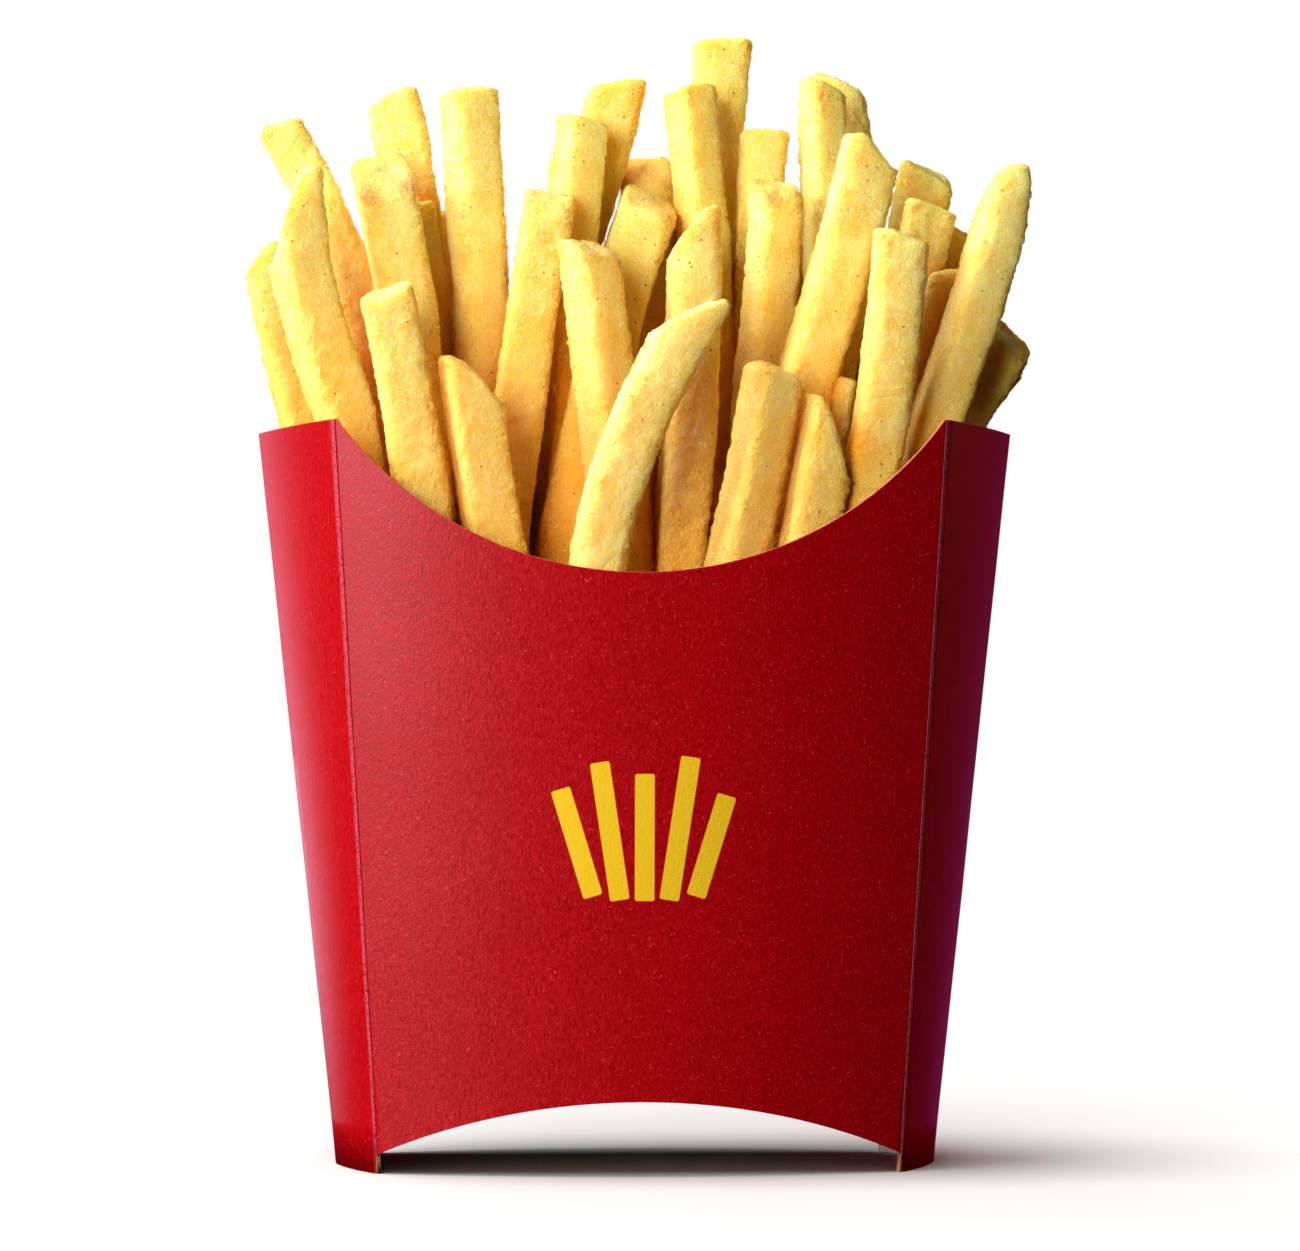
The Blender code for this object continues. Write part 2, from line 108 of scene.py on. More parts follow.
# The printed fan: its middle, the half width of a strip, how far below the middle
# the strips would meet, and the turn, low end and high end of each strip
MOTIF_AT = (0.4, 50.9)
MOTIF_HALF = 1.45
MOTIF_FAN = 34.0
MOTIF_STRIPS = ((-17.0, -8.0, 8.6), (-8.5, -9.4, 11.2), (0.0, -9.8, 9.0), (8.5, -9.4, 12.0),
                (17.0, -8.0, 7.6))


def mix(pair, share):
    return pair[0] + (pair[1] - pair[0]) * share


def fold_half(z):
    return mix(FOLD_HALF, z / TALL)


def fold_depth(z):
    return mix(FOLD_DEPTH, z / TALL)


def crease_half(z):
    return mix(CREASE_HALF, z / CREASE_TALL)


def bulge(z):
    return mix(BULGE, z / TALL)


def scoop(x):
    if abs(x) >= SCOOP_RADIUS:
        return TALL
    return min(TALL, SCOOP_LOW + SCOOP_RADIUS - math.sqrt(SCOOP_RADIUS ** 2 - x * x))


def arch(x):
    return ARCH_CROWN - ARCH_RADIUS + math.sqrt(ARCH_RADIUS ** 2 - x * x)


def wall(x, z):
    half = fold_half(z)
    across = abs(x)
    if across <= half:
        return fold_depth(z) + bulge(z) * (1.0 - (across / half) ** 2)
    share = (across - half) / (crease_half(z) - half)
    return fold_depth(z) * (1.0 - share)


def level_on(edge, u):
    z = edge(u * FOLD_HALF[1])
    for _ in range(30):
        z = edge(u * fold_half(z))
    return z


def panel_spot(u, z, sink):
    """A place on the bulged panel; u runs from fold to fold, sink goes into the board."""
    slope = -2.0 * bulge(z) * u / fold_half(z)
    run = math.sqrt(1.0 + slope * slope)
    x = u * fold_half(z)
    y = fold_depth(z) + bulge(z) * (1.0 - u * u)
    return x + slope / run * sink, y - sink / run


def facet_spot(f, z, sink):
    """A place on a side facet; f runs from the fold to the outer crease."""
    out = crease_half(z) - fold_half(z)
    deep = fold_depth(z)
    run = math.hypot(out, deep)
    bow = FACET_BOW * 4.0 * f * (1.0 - f)
    x = fold_half(z) + out * f - deep / run * (sink + bow)
    y = deep * (1.0 - f) - out / run * (sink + bow)
    return x, y


def carton_lines():
    """Upright lines of the front half of the sleeve, from one crease to the other.

    Each is (kind, share, sink, score), with the share along its facet or panel. The score
    is 1 in the groove of a score line, which the print darkens as painted shade, and 2 on
    the fold between two of them, which it paints lighter, partly as wear from rubbing and
    partly as a painted sheen.
    """
    facet = []
    for step in range(FACET_COLUMNS + 1):
        share = 1.0 - step * (1.0 - FACET_MARGIN) / FACET_COLUMNS
        facet.append(("facet", share, 0.0, 0.0))
    near = SCORE_BAND / FACET_WIDE
    line = SCORE_LINE / FACET_WIDE
    facet.append(("facet", near + line, 0.0, 0.0))
    facet.append(("facet", near, SCORE_DEPTH, 1.0))
    facet.append(("facet", near - line, 0.0, 2.0))
    near_u = 1.0 - SCORE_BAND / PANEL_HALF
    line_u = SCORE_LINE / PANEL_HALF
    fold = [("panel", near_u + line_u, 0.0, 2.0), ("panel", near_u, SCORE_DEPTH, 1.0),
            ("panel", near_u - line_u, 0.0, 0.0)]
    panel = []
    for step in range(PANEL_COLUMNS + 1):
        u = (near_u - PANEL_MARGIN) * (-1.0 + 2.0 * step / PANEL_COLUMNS)
        panel.append(("panel", u, 0.0, 0.0))
    left = [(kind, -share, sink, score) for kind, share, sink, score in facet + fold]
    right = [(kind, share, sink, score) for kind, share, sink, score in reversed(facet + fold)]
    return left + panel + right


def line_spot(kind, share, sink, z):
    hand = -1.0 if share < 0 else 1.0
    if kind == "panel":
        return panel_spot(share, z, sink)
    x, y = facet_spot(abs(share), z, sink)
    return hand * x, y


def as_object(bm, name):
    mesh = bpy.data.meshes.new(name)
    bm.to_mesh(mesh)
    bm.free()
    made = bpy.data.objects.new(name, mesh)
    scene.collection.objects.link(made)
    return made


def build_carton():
    bm = bmesh.new()
    score_layer = bm.verts.layers.float.new("score")
    lip_layer = bm.verts.layers.float.new("lip")
    lines = carton_lines()
    half_sleeves = {}
    for side in (-1, 1):
        columns = []
        for kind, share, sink, score in lines:
            if kind == "panel":
                low = level_on(arch, share)
                high = level_on(scoop, share)
            else:
                low = 0.0
                high = TALL - (TALL - CREASE_TALL) * abs(share)
            column = []
            heights = [low + (high - CUT_LIP - low) * row / ROWS for row in range(ROWS + 1)]
            heights.append(high)
            for z in heights:
                x, y = line_spot(kind, share, sink, z)
                vert = bm.verts.new((x, side * y, z))
                vert[score_layer] = score
                vert[lip_layer] = 1.0 if z == high else 0.0
                column.append(vert)
            columns.append(column)
        half_sleeves[side] = columns
        for left, right in zip(columns, columns[1:]):
            for row in range(len(left) - 1):
                bm.faces.new((left[row], right[row], right[row + 1], left[row + 1]))
    front, back = half_sleeves[-1], half_sleeves[1]
    first_panel = FACET_COLUMNS + 1 + 3
    last_panel = len(lines) - 1 - first_panel
    previous = None
    tongue = [mix((TONGUE_FROM, FLAP_REACH), step / TONGUE_STEPS)
              for step in range(1, TONGUE_STEPS + 1)]
    spots = [("tongue", -x) for x in reversed(tongue)]
    spots += [("arch", index) for index in range(first_panel, last_panel + 1)]
    spots += [("tongue", x) for x in tongue]
    for kind, value in spots:
        if kind == "arch":
            x = front[value][0].co.x
            z = front[value][0].co.z
            deep = abs(front[value][0].co.y)
            row = [front[value][0]]
        else:
            x = value
            z = arch(x)
            deep = wall(abs(x) + FLAP_CLEAR, z)
            row = [bm.verts.new((x, -deep, z))]
        for step in range(1, FLAP_ROWS):
            y = deep * (-1.0 + 2.0 * step / FLAP_ROWS)
            row.append(bm.verts.new((x, y, z)))
        row.append(back[value][0] if kind == "arch" else bm.verts.new((x, deep, z)))
        if previous is not None:
            for step in range(FLAP_ROWS):
                bm.faces.new((previous[step], previous[step + 1], row[step + 1], row[step]))
        previous = row
    bmesh.ops.remove_doubles(bm, verts=bm.verts, dist=0.002)
    bmesh.ops.recalc_face_normals(bm, faces=bm.faces)
    bm.normal_update()
    outward = sum(face.normal.y * face.calc_center_median().y for face in bm.faces)
    if outward < 0:
        bmesh.ops.reverse_faces(bm, faces=bm.faces)
    bm.normal_update()
    moves = {}
    for vert in bm.verts:
        wave = (vert.co + WAVE_START) / WAVE_LONG
        swell = math.sin(wave.x * 2.3 + 1.7 * math.sin(wave.z * 1.9)) * math.sin(wave.z * 2.9)
        moves[vert] = vert.co + vert.normal * (WAVE_HIGH * swell - WAVE_HIGH)
    for vert, place in moves.items():
        if vert.co.z > FOOT:
            vert.co = place
    for vert in bm.verts:
        vert.co *= MM
    sleeve = as_object(bm, "carton_sleeve")
    thick = sleeve.modifiers.new("board", 'SOLIDIFY')
    thick.thickness = BOARD * MM
    thick.offset = -1.0
    thick.use_even_offset = True
    thick.material_offset = 1
    thick.material_offset_rim = 2
    sleeve.data.shade_smooth()
    sleeve.data.set_sharp_from_angle(angle=math.radians(32.0))
    return sleeve


def new_material(name):
    material = bpy.data.materials.new(name)
    material.use_nodes = True
    tree = material.node_tree
    return material, tree, tree.nodes["Principled BSDF"]


def node(tree, kind, **settings):
    made = tree.nodes.new(kind)
    for key, value in settings.items():
        setattr(made, key, value)
    return made


def sums(tree, operation, first, second=None, third=None):
    made = node(tree, "ShaderNodeMath", operation=operation)
    for socket, value in zip(made.inputs, (first, second, third)):
        if value is None:
            continue
        if isinstance(value, (int, float)):
            socket.default_value = value
        else:
            tree.links.new(value, socket)
    return made.outputs[0]


def blend_colour(tree, share, first, second):
    made = node(tree, "ShaderNodeMix", data_type='RGBA')
    for socket, value in ((made.inputs[0], share), (made.inputs[6], first),
                          (made.inputs[7], second)):
        if isinstance(value, (int, float)):
            socket.default_value = value
        elif isinstance(value, tuple):
            socket.default_value = value + (1.0,)
        else:
            tree.links.new(value, socket)
    return made.outputs[2]


def fine_noise(tree, place, scale, detail, rough):
    made = node(tree, "ShaderNodeTexNoise")
    made.inputs["Scale"].default_value = scale
    made.inputs["Detail"].default_value = detail
    made.inputs["Roughness"].default_value = rough
    tree.links.new(place, made.inputs["Vector"])
    return made.outputs["Fac"]


def ramp(tree, value, low, high):
    made = node(tree, "ShaderNodeMapRange", clamp=True)
    made.inputs["From Min"].default_value = low
    made.inputs["From Max"].default_value = high
    tree.links.new(value, made.inputs["Value"])
    return made.outputs["Result"]


def stretched(tree, place, scale):
    made = node(tree, "ShaderNodeMapping")
    made.inputs["Scale"].default_value = scale
    tree.links.new(place, made.inputs["Vector"])
    return made.outputs["Vector"]


def carried(tree, name):
    """A value that the mesh carries at its vertices."""
    return node(tree, "ShaderNodeAttribute", attribute_name=name).outputs["Fac"]


def tinted(tree, colour, share, most, tint):
    """The colour, taken towards the tint by the given part at most, where share is 1."""
    return blend_colour(tree, sums(tree, 'MULTIPLY', share, most), colour, tint)


def bumped(tree, shader, height, strength, distance):
    bump = node(tree, "ShaderNodeBump")
    bump.inputs["Strength"].default_value = strength
    bump.inputs["Distance"].default_value = distance
    tree.links.new(height, bump.inputs["Height"])
    tree.links.new(bump.outputs["Normal"], shader.inputs["Normal"])


def motif_share(tree, place):
    """The plain printed motif: five yellow strips in a fan, front panel only."""
    split = node(tree, "ShaderNodeSeparateXYZ")
    tree.links.new(place, split.inputs[0])
    x = sums(tree, 'MULTIPLY_ADD', split.outputs[0], 1.0 / MM, -MOTIF_AT[0])
    z = sums(tree, 'MULTIPLY_ADD', split.outputs[2], 1.0 / MM, MOTIF_FAN - MOTIF_AT[1])
    inside = None
    for turn, low, high in MOTIF_STRIPS:
        lean = math.radians(turn)
        across = sums(tree, 'MULTIPLY_ADD', x, math.cos(lean),
                      sums(tree, 'MULTIPLY', z, -math.sin(lean)))
        up = sums(tree, 'MULTIPLY_ADD', x, math.sin(lean),
                  sums(tree, 'MULTIPLY', z, math.cos(lean)))
        beside = sums(tree, 'SUBTRACT', sums(tree, 'ABSOLUTE', across), MOTIF_HALF)
        beyond = sums(tree, 'MAXIMUM', sums(tree, 'SUBTRACT', MOTIF_FAN + low, up),
                      sums(tree, 'SUBTRACT', up, MOTIF_FAN + high))
        strip = ramp(tree, sums(tree, 'SMOOTH_MAX', beside, beyond, 0.6), 0.05, -0.05)
        inside = strip if inside is None else sums(tree, 'MAXIMUM', inside, strip)
    front = sums(tree, 'LESS_THAN', split.outputs[1], 0.0)
    return sums(tree, 'MULTIPLY', inside, front)


# The inks, and how they look where the board is scored (darker, as painted shade in the grooves),
# on the folds (lighter, as wear from rubbing and as a painted sheen) or worn
CRIMSON = (0.36, 0.0006, 0.003)
CRIMSON_DEEP = (0.25, 0.0002, 0.0010)
CRIMSON_CLOUD = (0.24, 0.0002, 0.0010)
CRIMSON_DOTS = (0.58, 0.03, 0.055)
SCORE_PAINTED_SHADE = (0.12, 0.001, 0.003)
RUBBED_AND_SHEEN_INK = (0.54, 0.06, 0.09)
WORN_INK = (0.45, 0.05, 0.015)
YELLOW_INK = (0.70, 0.45, 0.012)


def printed_board():
    """Coated board printed crimson: satin varnish over fine paper fibre."""
    material, tree, shader = new_material("crimson_board")
    place = node(tree, "ShaderNodeTexCoord").outputs["Object"]
    fibre = fine_noise(tree, stretched(tree, place, (2600.0, 2600.0, 1100.0)), 1.0, 3.0, 0.6)
    grain = fine_noise(tree, place, 2600.0, 2.0, 0.5)
    cloud = fine_noise(tree, place, 60.0, 2.0, 0.5)
    score = carried(tree, "score")
    red = blend_colour(tree, ramp(tree, fibre, 0.38, 0.62), CRIMSON_DEEP, CRIMSON)
    red = blend_colour(tree, ramp(tree, grain, 0.64, 0.75), red, CRIMSON_DOTS)
    red = tinted(tree, red, ramp(tree, cloud, 0.3, 0.75), 0.2, CRIMSON_CLOUD)
    # Painted shade: the score grooves are darkened
    red = tinted(tree, red, ramp(tree, score, 0.2, 1.0), 0.7, SCORE_PAINTED_SHADE)
    # The fold band is painted lighter and pinker, partly as wear from rubbing and partly as a
    # painted sheen
    rubbed_and_sheen = sums(tree, 'MULTIPLY', ramp(tree, score, 1.2, 1.8), ramp(tree, grain, 0.30, 0.5))
    red = tinted(tree, red, rubbed_and_sheen, 0.6, RUBBED_AND_SHEEN_INK)
    worn = sums(tree, 'MULTIPLY', carried(tree, "lip"), ramp(tree, fibre, 0.35, 0.6))
    red = tinted(tree, red, worn, 0.6, WORN_INK)
    ink = blend_colour(tree, motif_share(tree, place), red, YELLOW_INK)
    tree.links.new(ink, shader.inputs["Base Color"])
    shader.inputs["Specular IOR Level"].default_value = 0.2
    rough = sums(tree, 'MULTIPLY_ADD', ramp(tree, fibre, 0.3, 0.7), 0.16, 0.28)
    tree.links.new(rough, shader.inputs["Roughness"])
    bumped(tree, shader, sums(tree, 'MULTIPLY_ADD', grain, 0.5, fibre), 0.5, 0.00007)
    return material


def bare_board(name, light, dark):
    """The uncoated side and the cut edge: pale fibre that shows its layers."""
    material, tree, shader = new_material(name)
    place = node(tree, "ShaderNodeTexCoord").outputs["Object"]
    fibre = fine_noise(tree, stretched(tree, place, (900.0, 900.0, 300.0)), 1.0, 4.0, 0.6)
    tree.links.new(blend_colour(tree, ramp(tree, fibre, 0.3, 0.7), dark, light),
                   shader.inputs["Base Color"])
    shader.inputs["Roughness"].default_value = 0.8
    shader.inputs["Specular IOR Level"].default_value = 0.1
    bumped(tree, shader, fibre, 0.3, 0.00005)
    return material


carton = build_carton()
for board in (printed_board(),
              bare_board("inside_board", (0.60, 0.50, 0.40), (0.52, 0.42, 0.32)),
              bare_board("cut_board_edge", (0.66, 0.27, 0.09), (0.44, 0.10, 0.035))):
    carton.data.materials.append(board)
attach(carton, "root")
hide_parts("carton")

# The fries: potatoes cut into square strips about 7 mm thick and fried, with flat
# faces, softly rounded corners, a fine blistered crust and browned ends. They were
# dropped into the carton upright, and lean on each other and on its walls.
FOLD_PLANE = -25.0
ROOT = 64.0
ROOT_REACH = 40.0
LAYER_FIRST = -27.0
LAYER_PITCH = 7.7
FAN = 0.0028
FAN_LEVEL = 100.0
GAP = 0.35
CORNER = 0.24
POINTED = 3.0
SEED = 11

# How a fry that touches the board is moved, a little at a time: towards the middle
# layer, and towards the middle of the carton if it stands beside a fold
FIT_TRIES = 60
FIT_LAYER = 0.06
FIT_SIDE = 0.12
MIDDLE_LAYER = 3.5
BESIDE_FOLD = 38.0

# Each fry as it shows in a front view measured on the plane of the front folds:
# end (across, up), a low point (across, up), bow, thickness, layer from the front,
# roll, slant of the end cut, slant of its face towards the back, length of its point
FRIES = (
    (-56.1, 136.3, -49.9, 110.7, 0.0, 6.2, 3.2, 10, 30, 0, 0.0),
    (-51.2, 142.7, -43.5, 112.6, -1.3, 8.1, 2.3, 22, 60, 0, 0.0),
    (-53.6, 155.7, -40.4, 125.5, 1.3, 6.7, 4.4, 6, -10, 0, 1.2),
    (-38.2, 148.1, -34.5, 128.5, 0.0, 8.3, 3.1, 9, -3, 40, 0.0),
    (-36.9, 159.8, -32.9, 135.9, 0.4, 8.1, 4.6, 8, 9, 0, 1.2),
    (-25.6, 161.2, -23.4, 124.8, 0.0, 7.8, 3.6, 20, 4, 0, 1.5),
    (-37.7, 131.1, -32.1, 98.9, 0.3, 7.7, 1.0, 4, 8, 10, 1.2),
    (-33.9, 144.3, -31.4, 125.5, 0.0, 7.1, 4.1, 0, 0, 0, 0.0),
    (-25.3, 118.4, -21.6, 93.7, -0.3, 8.0, 1.0, 14, -42, 0, 0.0),
    (-13.3, 145.6, -20.3, 95.9, -0.4, 7.5, 2.7, 5, 0, 10, 0.0),
    (-8.6, 156.9, -11.1, 129.9, 0.0, 6.8, 3.6, 28, -8, 0, 1.2),
    (-3.6, 161.6, -11.1, 135.6, 0.4, 8.3, 4.5, 8, 24, 0, 0.9),
    (0.6, 148.9, 1.6, 134.4, 0.0, 8.0, 5.0, 0, 0, 35, 1.2),
    (-7.8, 137.3, -3.1, 99.6, 0.0, 7.8, 1.9, 38, -22, 14, 0.9),
    (1.3, 144.2, -4.3, 128.2, 0.0, 8.6, 3.5, 6, -8, 20, 0.9),
    (7.8, 140.2, 5.5, 91.5, 0.7, 7.8, 1.9, 10, 46, 0, 0.0),
    (7.7, 127.6, -6.5, 90.7, -2.2, 7.8, 0.0, 8, 48, 0, 0.0),
    (7.1, 161.6, 9.6, 135.6, 0.0, 6.8, 3.8, 34, 6, 0, 0.6),
    (12.1, 168.4, 8.9, 131.4, 0.0, 8.1, 4.9, 8, 5, 0, 0.0),
    (18.2, 155.0, 16.4, 125.5, 0.0, 6.7, 4.1, 5, 0, 0, 1.2),
    (20.1, 146.2, 17.5, 118.4, 0.6, 7.3, 2.9, 26, -8, 25, 0.0),
    (26.8, 161.9, 27.4, 138.1, 0.0, 6.2, 3.9, 26, -22, 0, 0.9),
    (29.0, 161.9, 31.2, 144.0, 0.7, 7.1, 5.0, 0, -34, 0, 1.2),
    (34.3, 152.3, 24.1, 116.9, 0.3, 8.1, 2.0, 12, -24, 0, 0.9),
    (42.5, 148.9, 38.9, 131.1, 0.0, 8.1, 4.5, 6, -14, 12, 0.0),
    (43.1, 143.9, 39.8, 129.6, 0.0, 7.5, 3.6, 4, -8, 0, 0.9),
    (38.6, 139.7, 33.6, 101.5, 0.7, 8.1, 1.0, 6, -12, 0, 0.0),
    (55.5, 149.8, 42.6, 108.9, 0.9, 7.7, 1.9, 14, 22, 0, 12.6),
    (55.4, 123.6, 48.1, 112.2, 0.0, 7.4, 2.8, 6, -14, 20, 0.0),
    (46.5, 140.5, 43.5, 131.1, 0.0, 6.8, 4.5, 0, 0, 0, 0.0),
    (46.2, 134.2, 42.5, 123.3, 0.0, 6.2, 2.9, 0, 20, 0, 1.5),
    (19.7, 120.0, 14.1, 92.1, 0.3, 7.4, 0.6, 28, -8, 0, 0.0),
    (27.8, 110.4, 24.4, 93.2, 0.0, 8.1, 0.6, 14, -55, 0, 0.0),
    (-5.6, 120.8, -11.5, 93.2, 0.0, 8.0, 2.9, 0, 0, 0, 0.0),
    (33.6, 135.6, 29.2, 119.3, 0.0, 5.0, 3.0, 0, 0, 0, 0.0),
    (30.2, 118.8, 28.9, 110.4, 0.0, 3.8, 1.9, 0, 0, 0, 0.0),
)

# The measured fries that another one stands behind, and the layer of that one
BACK_OF = (
    (1, 5.2), (3, 6.1), (4, 5.8), (5, 5.1), (6, 6.9), (8, 6.4), (9, 5.9), (10, 5.0),
    (11, 6.1), (13, 6.9), (15, 5.9), (16, 7.0), (17, 5.1), (18, 6.2), (20, 6.0),
    (21, 5.2), (23, 6.3), (24, 6.0), (26, 5.4), (27, 3.7), (31, 6.9), (32, 6.6),
    (33, 7.0), (28, 4.6), (25, 5.2), (0, 4.2), (19, 7.0),
)

# Three more that show through gaps between the tops, given like the measured ones
BETWEEN = (
    (-28.6, 142.0, -27.4, 120.0, 0.0, 7.2, 5.7, 8, 6, -12, 0.0),
    (5.4, 143.0, 4.6, 120.0, 0.0, 7.0, 6.2, -12, -8, -10, 0.0),
    (23.6, 138.5, 22.0, 118.0, 0.0, 7.2, 5.4, 14, 10, -8, 0.0),
)

# How far the ones behind end below their fronts, and the short ones in the gaps
BACK_DROP = (5.0, 17.0)
BACK_LOWEST = 108.0
FILL_COUNT = 16
FILL_TRIES = 80
FILL_LEVEL = 104.0
FILL_TOP = (108.0, 123.0)
FILL_ACROSS = (-44.0, 44.0)
FILL_EDGE = 4.5
FILL_DEEP = (-1.0, 27.0)

# Which ends are browned, and how much
BROWN_END = {0: 0.5, 3: 0.9, 9: 0.35, 10: 0.35, 12: 0.85, 13: 0.7, 14: 0.55, 15: 0.4, 18: 0.2,
             17: 0.55, 20: 0.75, 24: 0.35, 25: 0.35, 28: 0.6, 29: 0.9, 31: 0.5, 32: 0.7, 33: 0.4}


def inner_wall(x, z):
    half = fold_half(z)
    clear = BOARD + GAP
    lean = fold_depth(z) / (crease_half(z) - half)
    if abs(x) <= half:
        slope = 2.0 * bulge(z) * abs(x) / half ** 2
        free = wall(x, z) - clear * math.sqrt(1.0 + slope * slope)
        facet = fold_depth(z) * (1.0 - (abs(x) - half) / (crease_half(z) - half))
        return min(free, facet - clear * math.sqrt(1.0 + lean * lean))
    return wall(x, z) - clear * math.sqrt(1.0 + lean * lean)


def layer_depth(layer, z):
    return (LAYER_FIRST + LAYER_PITCH * layer) * (1.0 + FAN * (z - FAN_LEVEL))


def placed(x, z, layer):
    """A point of the measured front view, moved back to its layer."""
    y = layer_depth(layer, z)
    grow = (y - EYE.y) / (FOLD_PLANE - EYE.y)
    return Vector((EYE.x + (x - EYE.x) * grow, y, EYE.z + (z - EYE.z) * grow))


def fry_axis(fry):
    """Points of the fry's middle line, from its root in the heap to its end."""
    tip_x, tip_z, low_x, low_z, bow = fry[:5]
    layer = fry[6]
    points = []
    if low_z > ROOT + 2.0:
        lean = (tip_x - low_x) / (tip_z - low_z)
        root_x = low_x - lean * 0.55 * (low_z - ROOT)
        root_x = max(-ROOT_REACH, min(ROOT_REACH, root_x))
        for step in range(4):
            share = step / 4.0
            x = root_x + (low_x - root_x) * (share + 0.35 * share * (1.0 - share))
            points.append(placed(x, ROOT + (low_z - ROOT) * share, layer))
    for step in range(9):
        share = step / 8.0
        side = 4.0 * bow * share * (1.0 - share)
        x = low_x + (tip_x - low_x) * share + side
        points.append(placed(x, low_z + (tip_z - low_z) * share, layer))
    return points


def along(points, distance):
    left = distance
    for first, second in zip(points, points[1:]):
        step = (second - first).length
        if left <= step or second is points[-1]:
            return first + (second - first) * (left / step), (second - first).normalized()
        left -= step
    return points[-1], (points[-1] - points[-2]).normalized()


def path_length(points):
    return sum((b - a).length for a, b in zip(points, points[1:]))


def rough_section(half):
    inner = half * (1.0 - 2.0 * CORNER)
    ring = []
    for turn in range(4):
        for p, q in ((half, inner), (inner, half)):
            for _ in range(turn):
                p, q = -q, p
            ring.append((p, q))
    return ring


def blend_length(fry):
    slope = abs(math.tan(math.radians(fry[8]))) + abs(math.tan(math.radians(fry[9])))
    return max(4.0, 2.3 * 0.5 * fry[5] * slope, fry[10])


def rough_rings(fry):
    """The fry in few sides, to test its room in the carton."""
    thick, roll, cut, face, point = fry[5], fry[7], fry[8], fry[9], fry[10]
    points = fry_axis(fry)
    length = path_length(points)
    blend = blend_length(fry)
    shares = (0.0, 0.36, 0.7, 1.0) if abs(fry[4]) > 1.0 else (0.0, 0.45, 1.0)
    stations = [(length - blend) * share for share in shares]
    if point > POINTED:
        stations.append(length - 0.5 * point)
    stations += [length - 1.3, length]
    turn = math.radians(roll)
    rings = []
    for distance in stations:
        centre, ahead = along(points, distance)
        across = Vector((0.0, 1.0, 0.0)).cross(ahead).normalized()
        deep = ahead.cross(across)
        from_tip = length - distance
        share = max(0.0, 1.0 - from_tip / blend)
        size = 1.0
        if point > POINTED and from_tip < point:
            size = 0.3 + 0.7 * math.sqrt(1.0 - (1.0 - from_tip / point) ** 2)
        if from_tip < 0.1:
            size *= 0.8
        ring = []
        for p, q in rough_section(0.5 * thick * size):
            u = p * math.cos(turn) - q * math.sin(turn)
            v = p * math.sin(turn) + q * math.cos(turn)
            slide = share * (u * math.tan(math.radians(cut)) + v * math.tan(math.radians(face)))
            ring.append(centre + across * u + deep * v + ahead * slide)
        rings.append(ring)
    return rings


def clearance(point):
    x, y, z = point
    rim = scoop(x) if abs(x) < FOLD_HALF[1] else TALL
    if z > rim + 1.0:
        return 9.0
    return inner_wall(x, z) - abs(y)


def tightest(rings):
    room = 9.0
    for ring, after in zip(rings, rings[1:]):
        for a, b in zip(ring, after):
            for step in range(9):
                room = min(room, clearance(a.lerp(b, step / 8.0)))
    return room


def fitted(fry):
    """The fry, moved inwards until it clears the board."""
    values = list(fry)
    for _ in range(FIT_TRIES):
        if tightest(rough_rings(values)) >= 0.0:
            return values
        values[6] += FIT_LAYER if values[6] < MIDDLE_LAYER else -FIT_LAYER
        pull = -FIT_SIDE if values[2] > 0 else FIT_SIDE
        if abs(values[2]) > BESIDE_FOLD:
            values[2] += pull
            values[0] += 0.5 * pull
    return None


def back_fries():
    """Shorter fries that stand behind the measured ones."""
    draw = random.Random(SEED + 1)
    fries = []
    for index, layer in BACK_OF:
        fry = list(FRIES[index])
        drop = draw.uniform(*BACK_DROP)
        tall = max(BACK_LOWEST, fry[1] - drop)
        share = (tall - fry[3]) / (fry[1] - fry[3])
        if share < 0.3:
            tall = fry[1] - 2.0
            share = (tall - fry[3]) / (fry[1] - fry[3])
        fry[0] = fry[2] + (fry[0] - fry[2]) * share
        fry[1] = tall
        fry[5] = draw.uniform(6.6, 7.7)
        fry[6] = layer
        fry[7] = draw.uniform(-30.0, 30.0)
        fry[8] = draw.uniform(-24.0, 24.0)
        fry[9] = draw.uniform(-30.0, 10.0)
        fry[10] = 0.0
        fries.append(fry)
    return fries


def axis_at(fry, level):
    points = fry_axis(fry)
    for low, high in zip(points, points[1:]):
        if low.z <= level <= high.z:
            return low.lerp(high, (level - low.z) / (high.z - low.z))
    return None


def fill_fries(standing):
    """Short fries, each put where the standing ones leave the most room."""
    draw = random.Random(SEED + 2)
    taken = []
    for fry in standing:
        place = axis_at(fry, FILL_LEVEL)
        if place is not None:
            taken.append(place)
    fries = []
    for _ in range(FILL_COUNT):
        best = None
        best_room = 0.0
        for _ in range(FILL_TRIES):
            place = Vector((draw.uniform(*FILL_ACROSS), draw.uniform(*FILL_DEEP), FILL_LEVEL))
            room = min((place - other).length for other in taken)
            edge = inner_wall(place.x, FILL_LEVEL) - abs(place.y)
            if edge > FILL_EDGE and room > best_room:
                best = place
                best_room = room
        taken.append(best)
        grow = (best.y - EYE.y) / (FOLD_PLANE - EYE.y)
        x = EYE.x + (best.x - EYE.x) / grow
        level_grow = 1.0 + FAN * (FILL_LEVEL - FAN_LEVEL)
        layer = (best.y / level_grow - LAYER_FIRST) / LAYER_PITCH
        top = draw.uniform(*FILL_TOP)
        lean = best.x / 190.0 + draw.uniform(-0.05, 0.05)
        fries.append((x + lean * (top - FILL_LEVEL), top, x, FILL_LEVEL, 0.0,
                      draw.uniform(6.4, 7.6), layer, draw.uniform(-40.0, 40.0),
                      draw.uniform(-25.0, 25.0), draw.uniform(-15.0, 15.0), 0.0))
    return fries


